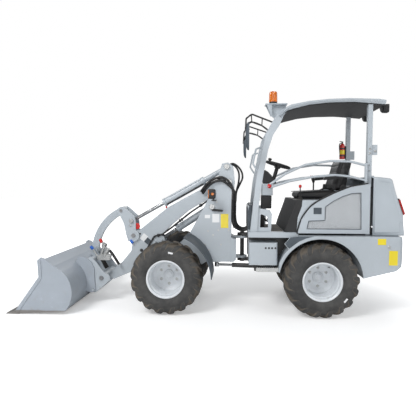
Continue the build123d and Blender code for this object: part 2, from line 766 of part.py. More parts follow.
parts["front_pillars"] = front_pillars()
parts["rear_posts"] = rear_posts()
parts["roof"] = roof_solid()
beacon_dome = Pos(358, 0, 2449) * Cylinder(46, 130)
beacon_dome = fillet(beacon_dome.edges().group_by(Axis.Z)[-1], 24)
parts["beacon"] = (
    Pos(358, 0, 2372) * Cylinder(50, 24) + beacon_dome + block(262, 519, -60, 60, 2346, 2360)
    + slab(outline([(280, 2346), (510, 2346), (510, 2240), (470, 2222), (446, 2203), (400, 2158), (334, 2224)]), -4, 4)
    - roof_solid()
)


def lamp_head(x_glass, x_back, y0, y1, z0, z1, corner):
    """A rounded housing with the lens set in behind its rim."""
    head = block(min(x_glass, x_back), max(x_glass, x_back), y0, y1, z0, z1)
    head = fillet(head.edges(), corner)
    glass = block(x_glass - 9, x_glass + 9, y0 + corner, y1 - corner, z0 + corner, z1 - corner)
    return head - fillet(glass.edges().filter_by(Axis.X), corner / 2)


parts["work_lamps"] = pair(
    lamp_head(1563, 1501, -345, -255, 2191, 2281, 14) + block(1470, 1503, -325, -275, 2240, 2280)
) - roof_solid()
parts["extinguisher"] = (
    Pos(post_front - 46, pillar_y, 1835) * Cylinder(32, 200)
    + Pos(post_front - 46, pillar_y, 1935) * Cone(32, 14, 30) + Pos(post_front - 46, pillar_y, 1957) * Cylinder(12, 16)
    + block(post_front - 18, post_front, pillar_y - 15, pillar_y + 15, 1820, 1850)
)
parts["front_lamps"] = pair(
    lamp_head(-384, -296, -400, -310, 1250, 1366, 14) + block(-350, -306, -345, -plate_outer, 1236, 1250)
    + block(-350, -306, -345, -318, 1249, 1260) + cross_pin((-345, 1312), 28, -406, -399)
)


def guard():
    upper = [(281, 1408), (451, 1527), (662, 1623), (925, 1664), (1134, 1658), (guard_x, 1615)]
    lower = [(292, 1381), (505, 1451), (770, 1499), (980, 1515), (1137, 1499), (guard_x, 1456)]
    bars = Part()
    for run in (upper, lower):
        bars += tube([(x, -guard_y, z) for x, z in run], guard_radius, 150)
    bars += Pos(guard_x, -guard_y, 1540) * Cylinder(16, 198)
    bars += Pos(280, -guard_y, 1395) * Sphere(24)
    return bars - Pos(guard_x, -guard_y, 1460) * Cylinder(8 + pin_gap, 64)


def mirror_heads():
    head = extrude(Plane.YZ * Ellipse(75, 145), amount=38)
    head = fillet(head.edges().group_by(Axis.X)[0], 14)
    head -= Pos(32, 0, 0) * extrude(Plane.YZ * Ellipse(68, 138), amount=10)
    return pair(Pos(20, -600, 1915) * head)


parts["guard_near"] = guard()
parts["guard_far"] = mirror(guard(), Plane.XZ)
parts["grab_handles"] = pair(
    tube([(205, -pillar_y, 1820), (139, -pillar_y, 1800), (107, -pillar_y, 1640), (158, -pillar_y, 1560)], 10, 25)
) - front_pillars()
parts["mirror_arms"] = pair(
    tube([(370, -pillar_y, 2066), (90, -440, 2170), (28, -520, 2110), (20, -560, 1960)], 9, 30)
    + tube([(322, -pillar_y, 1960), (200, -415, 2050), (90, -450, 2085), (42, -520, 2050), (39, -575, 1975)], 8, 25)
) - front_pillars() - mirror_heads()
parts["mirror_heads"] = mirror_heads()


# Operator's place
def seat_cushion():
    side = outline([(600, 1255), (600, 1320), (1080, 1345), (1080, 1255)], 22)
    return slab(side, -235, 235)


def seat_back():
    side = outline([(1000, 1340), (1120, 1702), (1235, 1702), (1150, 1340)], 25)
    return slab(side, -230, 230) - seat_cushion()


parts["seat_base"] = block(640, 1150, -200, 200, 1243, 1255) + slab(
    outline([(1085, 1255), (1150, 1255), (1176, 1346), (1234, 1600), (1195, 1600), (1140, 1340), (1085, 1300)]),
    -60, 60,
) - seat_back() - seat_cushion()
parts["seat_cushion"] = seat_cushion()
parts["seat_back"] = seat_back()
parts["console"] = block(250, 340, -100, 100, platform_top, 1287) + block(240, 380, -130, 130, 1287, 1425)

wheel_centre = (422, 0, 1646)
wheel_axis = (0.284, 0, 0.959)
steer_plane = Plane(origin=wheel_centre, z_dir=wheel_axis)
parts["steering_column"] = (steer_plane * Pos(0, 0, -153.7) * Cylinder(22, 223)) - block(
    200, 380, -130, 130, 1200, 1425
)
parts["steering_wheel"] = steer_plane * (
    Torus(141, 14) + Pos(0, 0, -20) * Cylinder(34, 44)
    + Part() + [Rot(0, 0, 30 + 120 * k) * Pos(78, 0, -4) * Box(124, 22, 10) for k in range(3)]
)
parts["controls"] = (
    Pos(900, 300, 1363) * Cylinder(9, 240) + Pos(900, 300, 1490) * Cylinder(20, 60)
    + Pos(640, -300, 1313) * Cylinder(7, 140) + Pos(640, -300, 1390) * Cylinder(16, 50)
)

print("cylinders", reach(lift_base, lift_eye), reach(tilt_anchor, rocker_eye), reach(steer_base, steer_eye))
os.makedirs("parts", exist_ok=True)
for name, shape in parts.items():
    export_step(Pos(shift, 0, 0) * shape, f"parts/{name}.step")
print(len(parts), "nodes, moved along X by", shift)
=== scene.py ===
import json
import math
import bmesh
import bpy
import numpy as np
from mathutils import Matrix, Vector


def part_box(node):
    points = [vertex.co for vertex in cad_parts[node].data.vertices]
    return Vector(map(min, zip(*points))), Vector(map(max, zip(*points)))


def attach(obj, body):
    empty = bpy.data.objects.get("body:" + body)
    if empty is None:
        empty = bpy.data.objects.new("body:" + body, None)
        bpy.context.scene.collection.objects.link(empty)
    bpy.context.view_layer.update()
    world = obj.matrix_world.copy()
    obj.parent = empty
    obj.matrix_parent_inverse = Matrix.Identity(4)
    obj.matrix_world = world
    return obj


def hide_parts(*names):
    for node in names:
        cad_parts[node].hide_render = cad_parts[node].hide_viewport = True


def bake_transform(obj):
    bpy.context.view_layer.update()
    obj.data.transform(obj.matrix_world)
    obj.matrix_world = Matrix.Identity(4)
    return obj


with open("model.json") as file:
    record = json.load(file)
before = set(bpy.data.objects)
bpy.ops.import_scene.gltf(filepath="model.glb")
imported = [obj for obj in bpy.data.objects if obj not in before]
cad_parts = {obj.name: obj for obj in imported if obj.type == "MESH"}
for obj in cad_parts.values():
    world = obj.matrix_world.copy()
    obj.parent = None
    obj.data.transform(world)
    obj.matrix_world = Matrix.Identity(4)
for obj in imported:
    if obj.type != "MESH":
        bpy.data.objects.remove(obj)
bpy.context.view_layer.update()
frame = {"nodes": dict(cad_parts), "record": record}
print("frame loaded", len(frame["nodes"]), "nodes")

# The machine is drawn in millimetres from its centre pivot, which lies this far behind the frame's origin
pivotShift = 440.5


def place(x, y, z):  # millimetres from the centre pivot to metres in the frame
    return np.array([x + pivotShift, y, z], float) / 1000


def places(points):
    return np.array([place(*p) for p in points])


# Shader arithmetic
class Wire:  # one output socket; arithmetic on it adds Math nodes to its finish
    def __init__(self, finish, socket):
        self.finish = finish
        self.socket = socket

    def math(self, operation, *others):
        return self.finish.add(
            "Math", {"operation": operation}, {i: v for i, v in enumerate((self,) + others)}
        )

    def reflected(self, operation, other):
        return self.finish.add("Math", {"operation": operation}, {0: other, 1: self})

    def __add__(self, other):
        return self.math("ADD", other)

    def __sub__(self, other):
        return self.math("SUBTRACT", other)

    def __mul__(self, other):
        return self.math("MULTIPLY", other)

    def __truediv__(self, other):
        return self.math("DIVIDE", other)

    def __rsub__(self, other):
        return self.reflected("SUBTRACT", other)

    __radd__ = __add__
    __rmul__ = __mul__

    def step(self, low, high):  # 0 below low, 1 above high, smooth between them
        return self.finish.add(
            "MapRange",
            {"interpolation_type": "SMOOTHSTEP"},
            {"Value": self, "From Min": low, "From Max": high},
        )


class Finish:  # one material with its nodes
    def __init__(self, name, **fixed):
        self.material = bpy.data.materials.new(name)
        self.material.use_nodes = True
        self.tree = self.material.node_tree
        self.tree.nodes.clear()
        self.surface = self.tree.nodes.new("ShaderNodeBsdfPrincipled")
        out = self.tree.nodes.new("ShaderNodeOutputMaterial")
        self.tree.links.new(self.surface.outputs[0], out.inputs[0])
        self.feed(self.surface, {k.replace("_", " "): v for k, v in fixed.items()})
        coordinates = self.tree.nodes.new("ShaderNodeTexCoord")
        self.where = Wire(self, coordinates.outputs["Object"])
        self.facing = Wire(self, coordinates.outputs["Normal"])
        self.uv = Wire(self, coordinates.outputs["UV"])

    def feed(self, node, sockets):
        for key, value in sockets.items():
            target = node.inputs[key]
            if isinstance(value, Wire):
                self.tree.links.new(value.socket, target)
            elif isinstance(value, (tuple, list)) and len(value) == 3 and target.type == "RGBA":
                target.default_value = tuple(value) + (1,)
            else:
                target.default_value = value

    def add(self, kind, settings=None, sockets=None, output=0):
        node = self.tree.nodes.new("ShaderNode" + kind)
        for key, value in (settings or {}).items():
            if key == "stops":
                ramp = node.color_ramp.elements
                while len(ramp) < len(value):
                    ramp.new(1)
                for element, (at, colour) in zip(ramp, value):
                    element.position = at
                    element.color = tuple(colour) + (1,)
            else:
                setattr(node, key, value)
        self.feed(node, sockets or {})
        return Wire(self, node.outputs[output])

    def noise(self, scale, detail=3, rough=0.55, where=None):
        sockets = {"Vector": where or self.where, "Scale": scale, "Detail": detail, "Roughness": rough}
        return self.add("TexNoise", {}, sockets)

    def stretched(self, scale):
        return self.add("Mapping", {}, {"Vector": self.where, "Scale": scale})

    def parts(self, vector):
        first = self.add("SeparateXYZ", {}, {0: vector})
        return [Wire(self, output) for output in first.socket.node.outputs]

    def mix(self, factor, a, b):
        return self.add("Mix", {"data_type": "RGBA"}, {0: factor, 6: a, 7: b}, 2)

    def bump(self, height, distance, strength=1.0, edge=0.0):
        sockets = {"Height": height, "Distance": distance, "Strength": strength}
        if edge:
            sockets["Normal"] = self.add("Bevel", {"samples": 4}, {"Radius": edge})
        return self.add("Bump", {}, sockets)

    def attribute(self, name):
        return self.add("Attribute", {"attribute_name": name}, {}, "Fac")

    def done(self, **sockets):
        self.feed(self.surface, {k.replace("_", " "): v for k, v in sockets.items()})
        return self.material


def shaded(colour, factor):
    return tuple(c * factor for c in colour)


dustColour = (0.30, 0.265, 0.225)


# Sprayed paint: soft clouds of tone, orange peel, dust where it faces up and near the ground
def sprayedPaint(name, colour, rough=0.34, dust=0.35, edge=0.004, coat=0.25):
    f = Finish(name, Coat_Weight=coat, Coat_Roughness=0.18)
    clouds = f.noise(1.7, 4)
    speckle = f.noise(38, 4, 0.7)
    height = f.parts(f.where)[2]
    up = f.parts(f.facing)[2]
    low = 1 - height.step(0.15, 0.95)
    settled = (up.step(0.35, 0.95) * 0.5 + low * 0.55) * speckle.step(0.42, 0.72) * dust
    tone = f.mix(clouds.step(0.3, 0.7), shaded(colour, 0.95), shaded(colour, 1.04))
    tone = f.mix(settled, tone, dustColour)
    peel = f.noise(420, 2)
    return f.done(
        Base_Color=tone,
        Roughness=rough + settled * 0.4 + speckle * 0.06,
        Normal=f.bump(peel, 0.0002, 0.25, edge),
    )


# Bucket paint: rubbed bare at the cutting edge and along the floor, with scratches up the walls
def bucketPaint(colour):
    f = Finish("bucketPaint", Coat_Weight=0.1)
    height = f.parts(f.where)[2]
    clouds = f.noise(2.4, 4)
    patches = f.noise(9, 6, 0.7)
    scratches = f.noise(1.0, 4, 0.75, f.stretched((9, 160, 9)))
    lip = 1 - height.step(0.012, 0.075)
    bare = (lip * 1.25 + patches * 0.5 - 0.55).step(0.05, 0.45)
    rubbed = scratches.step(0.58, 0.68) * (1 - height.step(0.05, 0.5)) * 0.35
    soil = patches.step(0.52, 0.8) * (1 - height.step(0.1, 0.7)) * 0.4
    tone = f.mix(clouds.step(0.3, 0.7), shaded(colour, 0.93), shaded(colour, 1.05))
    tone = f.mix(rubbed, tone, shaded(colour, 1.5))
    tone = f.mix(soil, tone, dustColour)
    tone = f.mix(bare, tone, (0.30, 0.285, 0.27))
    return f.done(
        Base_Color=tone,
        Metallic=bare * 0.85,
        Roughness=0.42 + soil * 0.3 - bare * 0.08,
        Normal=f.bump(patches * 0.5 + scratches * 0.3, 0.0012, 0.3, 0.004),
    )


def mouldedPlastic(name, colour, rough=0.55, grain=900, dust=0.3, edge=0.003):
    f = Finish(name)
    pebbles = f.add("TexVoronoi", {}, {"Vector": f.where, "Scale": grain})
    clouds = f.noise(5, 4)
    up = f.parts(f.facing)[2]
    settled = up.step(0.4, 1.0) * clouds.step(0.35, 0.75) * dust
    tone = f.mix(clouds.step(0.35, 0.7), shaded(colour, 0.8), shaded(colour, 1.25))
    tone = f.mix(settled, tone, shaded(dustColour, 0.8))
    return f.done(
        Base_Color=tone,
        Roughness=rough + settled * 0.3 + clouds * 0.08,
        Normal=f.bump(pebbles, 0.0003, 0.4, edge),
    )


def castMetal():
    f = Finish("castIron", Metallic=0.25)
    sand = f.noise(260, 5, 0.7)
    clouds = f.noise(6, 4)
    up = f.parts(f.facing)[2]
    settled = (up.step(0.0, 0.9) * 0.4 + clouds.step(0.4, 0.7) * 0.35) * 0.7
    tone = f.mix(settled, (0.035, 0.035, 0.037), shaded(dustColour, 0.55))
    return f.done(Base_Color=tone, Roughness=0.62 + settled * 0.25, Normal=f.bump(sand, 0.0006, 0.5, 0.004))


def turnedSteel(name, colour, rough):
    f = Finish(name, Metallic=1.0)
    grain = f.noise(300, 3, 0.6)
    clouds = f.noise(14, 3)
    tone = f.mix(clouds, shaded(colour, 0.82), shaded(colour, 1.1))
    return f.done(Base_Color=tone, Roughness=rough + clouds * 0.1, Normal=f.bump(grain, 0.0002, 0.2, 0.0015))


def polishedChrome():
    f = Finish("rodChrome", Metallic=0.85, Base_Color=(0.46, 0.47, 0.48))
    oil = f.noise(24, 3)
    return f.done(Roughness=0.07 + oil.step(0.45, 0.75) * 0.16)


def zincPlate():
    f = Finish("zincPlate", Metallic=0.9)
    spangle = f.noise(120, 3)
    tone = f.mix(spangle.step(0.35, 0.65), (0.42, 0.43, 0.44), (0.62, 0.62, 0.60))
    return f.done(Base_Color=tone, Roughness=0.3 + spangle * 0.2)


def lens(name, colour):
    f = Finish(name, Transmission_Weight=0.35, IOR=1.49, Coat_Weight=0.6, Coat_Roughness=0.05)
    ribs = f.add("TexWave", {"bands_direction": "Z"}, {"Vector": f.where, "Scale": 110})
    tone = f.mix(ribs, shaded(colour, 0.75), colour)
    return f.done(Base_Color=tone, Roughness=0.12 + ribs * 0.06, Normal=f.bump(ribs, 0.0005, 0.5))


# Tyre rubber: the attribute soil is 1 in the grooves and on the lugs' flanks
def tyreRubber():
    f = Finish("tyreRubber", Specular_IOR_Level=0.35)
    soil = f.attribute("soil")
    clouds = f.noise(7, 5, 0.65)
    grit = f.noise(160, 4, 0.7)
    packed = (soil * 0.9 + clouds * 0.9 - 0.62).step(0.0, 0.55)
    rubber = f.mix(clouds.step(0.35, 0.7), (0.040, 0.040, 0.040), (0.072, 0.070, 0.067))
    tone = f.mix(packed * 0.6, rubber, f.mix(grit, (0.13, 0.105, 0.078), (0.22, 0.185, 0.145)))
    return f.done(
        Base_Color=tone,
        Roughness=0.62 + packed * 0.3 - clouds * 0.08,
        Normal=f.bump(grit + packed * 1.2, 0.0012, 0.45),
    )


def hoseRubber():
    f = Finish("hoseRubber")
    wrap = f.noise(420, 3, 0.6)
    clouds = f.noise(22, 3)
    tone = f.mix(clouds.step(0.4, 0.75), (0.014, 0.014, 0.015), (0.05, 0.048, 0.045))
    return f.done(Base_Color=tone, Roughness=0.5 + clouds * 0.15, Normal=f.bump(wrap, 0.0004, 0.5))


def seatVinyl():
    f = Finish("seatVinyl", Coat_Weight=0.08, Coat_Roughness=0.4)
    pebble = f.add("TexVoronoi", {"feature": "DISTANCE_TO_EDGE"}, {"Vector": f.where, "Scale": 430})
    creases = f.noise(26, 6, 0.7)
    worn = f.noise(4, 3)
    tone = f.mix(worn.step(0.4, 0.75), (0.010, 0.010, 0.011), (0.026, 0.025, 0.025))
    height = pebble.step(0.0, 0.12) * 0.5 + creases.step(0.45, 0.6) * 0.7
    return f.done(Base_Color=tone, Roughness=0.46 + creases * 0.12, Normal=f.bump(height, 0.0007, 0.5))


# Perforated sheet: round holes in staggered rows, worked out from X and Z, painted near black as the shade
# seen through them
def perforatedSheet(colour, pitch=0.009, hole=0.0031):
    f = Finish("perforatedSheet")
    x, z = f.parts(f.where)[::2]
    row = z / (pitch * 0.866)
    odd = row.math("FLOOR").math("PINGPONG", 1.0)
    column = x / pitch + odd * 0.5
    dx = (column.math("FRACT") - 0.5) * pitch
    dz = (row.math("FRACT") - 0.5) * (pitch * 0.866)
    away = (dx * dx + dz * dz).math("SQRT")
    solid = away.step(hole - 0.0004, hole + 0.0004)
    clouds = f.noise(6, 4)
    tone = f.mix(clouds, shaded(colour, 0.85), shaded(colour, 1.1))
    # The holes get a near-black colour: painted shade of the dark space behind the sheet
    tone = f.mix(solid, (0.006, 0.006, 0.006), tone)
    return f.done(Base_Color=tone, Roughness=0.4 + (1 - solid) * 0.5, Normal=f.bump(solid, 0.0012, 0.6))


greyPaint = (0.44, 0.485, 0.525)
finishes = {
    "paint_grey": sprayedPaint("greyPaint", greyPaint),
    "bucket_grey": bucketPaint((0.37, 0.41, 0.46)),
    "rim_grey": sprayedPaint("rimPaint", (0.74, 0.77, 0.80), 0.3, 0.3),
    "frame_black": sprayedPaint("blackPaint", (0.017, 0.017, 0.018), 0.4, 0.3),
    "cast_iron": castMetal(),
    "plastic_black": mouldedPlastic("blackPlastic", (0.018, 0.018, 0.019)),
    "plastic_slate": mouldedPlastic("slatePlastic", (0.062, 0.078, 0.095), 0.5),
    "seat_vinyl": seatVinyl(),
    "lens_orange": lens("orangeLens", (0.95, 0.24, 0.01)),
    "lens_red": lens("redLens", (0.62, 0.015, 0.01)),
    "paint_red": sprayedPaint("redPaint", (0.60, 0.02, 0.015), 0.25, 0.1, 0.002, 0.6),
    "pin_steel": turnedSteel("pinSteel", (0.34, 0.34, 0.35), 0.36),
    "rod_chrome": polishedChrome(),
    "tyre_rubber": tyreRubber(),
}
hoseFinish = hoseRubber()
zinc = zincPlate()
perforated = perforatedSheet((0.62, 0.65, 0.68), 0.009, 0.0026)
yellowSticker = sprayedPaint("yellowSticker", (0.83, 0.66, 0.02), 0.3, 0.15, 0.0)
whiteSticker = sprayedPaint("whiteSticker", (0.78, 0.79, 0.80), 0.3, 0.1, 0.0)
bluePlastic = mouldedPlastic("bluePlastic", (0.02, 0.12, 0.50), 0.35, 900, 0.1)
redPlastic = mouldedPlastic("redPlastic", (0.55, 0.015, 0.012), 0.35, 900, 0.1)
mirrorGlass = Finish("mirrorGlass", Metallic=1.0, Base_Color=(0.80, 0.82, 0.83)).done(Roughness=0.03)
lampGlass = Finish("lampGlass", Transmission_Weight=0.6, IOR=1.45, Coat_Weight=0.5)
lampGlass = lampGlass.done(Base_Color=(0.82, 0.84, 0.86), Roughness=0.08)
reflector = turnedSteel("reflector", (0.85, 0.85, 0.86), 0.08)
print("finishes ready")

slotOf = {entry["node"]: entry["material_slot"] for entry in frame["record"]["subparts"]}
for node, piece in frame["nodes"].items():
    piece.data.materials.clear()
    piece.data.materials.append(finishes["paint_grey" if node == "grab_handles" else slotOf[node]])


# Surfaces as arrays: a form is (points n x 3, list of faces)
def gather(*forms):
    points = []
    faces = []
    count = 0
    for p, f in forms:
        points.append(p)
        faces += [[i + count for i in face] for face in f]
        count += len(p)
    return np.concatenate(points), faces


# Grid: points[i, j] is the surface at two parameters, closed along j; each cell is one quad
def gridForm(points, closeU=False, capStart=False, capEnd=False):
    rows, columns = points.shape[:2]
    index = np.arange(rows * columns).reshape(rows, columns)
    below = np.concatenate([index, index[:1]]) if closeU else index
    below = np.concatenate([below, below[:, :1]], 1)
    quads = np.stack([below[:-1, :-1], below[:-1, 1:], below[1:, 1:], below[1:, :-1]], -1).reshape(-1, 4)
    faces = quads.tolist()
    if capStart:
        faces.append(index[0, ::-1].tolist())
    if capEnd:
        faces.append(index[-1].tolist())
    return points.reshape(-1, 3), faces


# Lathe: the profile's r, h pairs turned about an axis, point = base + h axis + r (cos a u + sin a v)
def lathe(profile, base, axis, segments=32, closed=False):
    axis = np.array(axis, float) / np.linalg.norm(axis)
    side = np.cross(axis, (0, 0, 1) if abs(axis[2]) < 0.9 else (1, 0, 0))
    side /= np.linalg.norm(side)
    other = np.cross(axis, side)
    angle = np.linspace(0, 2 * np.pi, segments, endpoint=False)
    ring = np.outer(np.cos(angle), side) + np.outer(np.sin(angle), other)
    profile = np.array(profile, float)
    points = np.array(base) + profile[:, 1][:, None, None] * axis + profile[:, 0][:, None, None] * ring
    return gridForm(points, closeU=closed, capStart=not closed, capEnd=not closed)


# Smooth path: a Catmull-Rom curve through the points, evenly stepped in its parameter
def smoothPath(points, steps=10):
    p = np.array(points, float)
    p = np.concatenate([[2 * p[0] - p[1]], p, [2 * p[-1] - p[-2]]])
    t = np.linspace(0, 1, steps, endpoint=False)[:, None]
    runs = []
    for i in range(1, len(p) - 2):
        a, b, c, d = p[i - 1:i + 3]
        cubic = 2 * b + (c - a) * t + (2 * a - 5 * b + 4 * c - d) * t**2 + (3 * b - a - 3 * c + d) * t**3
        runs.append(0.5 * cubic)
    return np.concatenate(runs + [p[-2][None]])


# Sweep: a closed profile (a, b pairs) carried along a path, in a frame that turns with it but never rolls
def sweep(path, profile, closed=False, scale=None):
    path = np.array(path, float)
    tangent = np.gradient(path, axis=0)
    if closed:
        tangent = np.roll(path, -1, 0) - np.roll(path, 1, 0)
    tangent /= np.linalg.norm(tangent, axis=1)[:, None]
    first = np.cross(tangent[0], (0, 0, 1) if abs(tangent[0][2]) < 0.9 else (0, 1, 0))
    sides = [first / np.linalg.norm(first)]
    for t in tangent[1:]:
        s = sides[-1] - t * np.dot(sides[-1], t)
        sides.append(s / np.linalg.norm(s))
    sides = np.array(sides)
    others = np.cross(tangent, sides)
    profile = np.array(profile, float)
    grow = np.ones(len(path)) if scale is None else np.array(scale, float)
    a = profile[:, 0][None, :, None] * grow[:, None, None]
    b = profile[:, 1][None, :, None] * grow[:, None, None]
    points = path[:, None, :] + a * sides[:, None, :] + b * others[:, None, :]
    return gridForm(points, closeU=closed, capStart=not closed, capEnd=not closed)


def roundProfile(radius, segments=12):
    angle = np.linspace(0, 2 * np.pi, segments, endpoint=False)
    return np.stack([np.cos(angle), np.sin(angle)], 1) * radius


# Plate: a closed outline of X, Z pairs, made solid from one Y to the other
def plate(points, y0, y1):
    p = np.array(points, float)
    near = np.array([place(x, y0, z) for x, z in p])
    far = np.array([place(x, y1, z) for x, z in p])
    count = len(p)
    area = np.sum(p[:, 0] * np.roll(p[:, 1], -1) - np.roll(p[:, 0], -1) * p[:, 1])
    order = list(range(count))
    sides = [[i, (i + 1) % count, (i + 1) % count + count, i + count] for i in order]
    faces = [order[::-1], [i + count for i in order]] + sides
    if (area > 0) == (y1 > y0):
        faces = [f[::-1] for f in faces]
    return np.concatenate([near, far]), [f[::-1] for f in faces]


def box(x0, x1, y0, y1, z0, z1):
    return plate([(x0, z0), (x1, z0), (x1, z1), (x0, z1)], y0, y1)


def mirrored(form):
    points, faces = form
    return points * (1, -1, 1), [f[::-1] for f in faces]


def both(form):
    return gather(form, mirrored(form))


# Hexagon bolt with its washer, standing on a face at the point, looking along axis
def bolt(point, axis, size=9.0):
    s = size / 1000
    washer = lathe([(s * 1.35, 0), (s * 1.35, s * 0.22), (s * 1.25, s * 0.3)], point, axis, 14)
    head = lathe([(s, s * 0.3), (s, s * 0.9), (s * 0.88, s * 1.05)], point, axis, 6)
    return gather(washer, head)


def bolts(points, axis, size=9.0):
    return gather(*[bolt(place(*p), axis, size) for p in points])


def addPiece(
    name, form, finish, body, slot=None, bevel=0.0, smooth=30.0, segments=2, solid=0.0, recalculate=True
):
    points, faces = form
    mesh = bpy.data.meshes.new(name)
    mesh.from_pydata(points.tolist(), [], faces)
    if recalculate:
        shell = bmesh.new()
        shell.from_mesh(mesh)
        bmesh.ops.remove_doubles(shell, verts=shell.verts, dist=1e-6)
        bmesh.ops.recalc_face_normals(shell, faces=shell.faces)
        shell.to_mesh(mesh)
        shell.free()
    mesh.materials.append(finish)
    piece = bpy.data.objects.new(name, mesh)
    bpy.context.scene.collection.objects.link(piece)
    mesh.shade_smooth()
    mesh.set_sharp_from_angle(angle=math.radians(smooth))
    if solid:
        wall = piece.modifiers.new("wall", "SOLIDIFY")
        wall.thickness = solid
        wall.offset = -1
    if bevel:
        rounded = piece.modifiers.new("rounded", "BEVEL")
        rounded.width = bevel
        rounded.segments = segments
        rounded.limit_method = "ANGLE"
        rounded.angle_limit = math.radians(28)
        rounded.harden_normals = True
    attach(piece, body)
    return piece


# A piece in the finish that its slot names, on the rear half where no body is given
def dress(name, form, slot, body="rear_frame", **look):
    return addPiece(name, form, finishes[slot], body, slot, **look)


def hose(points, radius, steps=10):
    return sweep(smoothPath(places(points), steps), roundProfile(radius / 1000, 12))


# Tyres
def tyreCentre(end, side):
    low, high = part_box(f"tyre_{end}_{side}")
    return np.array((low + high) / 2)


tyreLook = {"radius": 395, "half": 160, "bead": 200, "lugs": 17, "lugDepth": 26, "sweep": 0.36}


def tyreForm():
    t = tyreLook
    r0, half, deep = t["radius"], t["half"], t["lugDepth"]
    base = r0 - deep
    # r, y: bead, sidewall with its ridges, shoulder, crown
    side = [
        (t["bead"], half - 38), (t["bead"] + 6, half - 24), (t["bead"] + 16, half - 20),
        (t["bead"] + 26, half - 16), (t["bead"] + 30, half - 10), (t["bead"] + 36, half - 9),
        (t["bead"] + 40, half - 6), (t["bead"] + 70, half - 1), (t["bead"] + 98, half),
        (t["bead"] + 104, half - 3), (t["bead"] + 122, half - 5), (base - 30, half - 12),
        (base - 10, half - 28), (base, half - 52), (base + 3, half - 90),
    ]
    crown = [(base + 4, 0)]
    section = side + crown + [(r, -y) for r, y in side[::-1]]
    section += [(t["bead"] + 4, -half + 46), (t["bead"] + 4, half - 46)]
    section = np.array(section) / 1000
    body = lathe(section, (0, 0, 0), (0, 1, 0), 96, closed=True)
    soil = np.repeat(np.clip((section[:, 0] - (base - 40) / 1000) / 0.04, 0, 1) * 0.75, 96)
    forms = [body]
    soils = [soil]
    # Lug: along s it runs from the middle over the shoulder and ends on the sidewall
    s = np.array([0.0, 0.12, 0.3, 0.5, 0.68, 0.8, 0.9, 1.0])
    y = np.array([-12, 14, 52, 92, 122, 143, 154, 157.5])
    top = np.array([r0 - 2, r0, r0, r0 - 2, r0 - 9, r0 - 24, r0 - 50, r0 - 80])
    foot = np.array([base + 2, base + 1, base, base - 2, base - 8, base - 22, r0 - 60, r0 - 86])
    width = np.array([15, 17, 18, 20, 23, 25, 24, 19])
    lean = t["sweep"] * s**0.85
    sink = np.array([4, 4, 4, 4, 4, 6, 10, 12])
    for mirror, offset in ((1, 0.0), (-1, 0.5)):
        for k in range(t["lugs"]):
            start = (k + offset) * 2 * np.pi / t["lugs"]
            middle = start + lean
            rows = []
            for share, radius, out in ((-1.45, foot - sink, -5), (-1.0, top - 2.5, 0), (-0.82, top, 0),
                                       (0.82, top, 0), (1.0, top - 2.5, 0), (1.45, foot - sink, -5)):
                angle = middle + share * width / radius
                across = mirror * (y + out * (s > 0.6))
                rows.append(np.stack([radius * np.cos(angle), across, radius * np.sin(angle)], -1))
            grid = np.stack(rows, 1) / 1000
            forms.append(gridForm(grid, capStart=True, capEnd=True))
            soils.append(np.tile([1.0, 0.55, 0.12, 0.12, 0.55, 1.0], len(s)))
    return gather(*forms), np.concatenate(soils)


def addTyre(end, side):
    (points, faces), soil = tyreForm()
    tyre = dress(
        f"tyre_{end}_{side}_lugged",
        (points + tyreCentre(end, side), faces),
        "tyre_rubber",
        f"wheel_{end}_{side}",
        smooth=38,
        recalculate=False,
    )
    layer = tyre.data.attributes.new("soil", "FLOAT", "POINT")
    layer.data.foreach_set("value", soil.astype(np.float32))
    shell = bmesh.new()
    shell.from_mesh(tyre.data)
    bmesh.ops.recalc_face_normals(shell, faces=shell.faces)
    shell.to_mesh(tyre.data)
    shell.free()
    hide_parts(f"tyre_{end}_{side}")


for end in ("front", "rear"):
    for side in ("near", "far"):
        addTyre(end, side)
print("tyres ready")

# Wheel trim: nuts on the disc, hub cap, valve and the beads rolled into the rim
wheelTrim = {
    "pitch": 102, "nuts": 6, "face": -108, "hubFace": -86,
    "beads": ((199, 140), (190, 128), (182, 92)), "beadRadius": 0.0032, "beadSegments": 96,
    "valveFoot": (0.108, 0.102), "valveEnd": (0.114, 0.055),
}


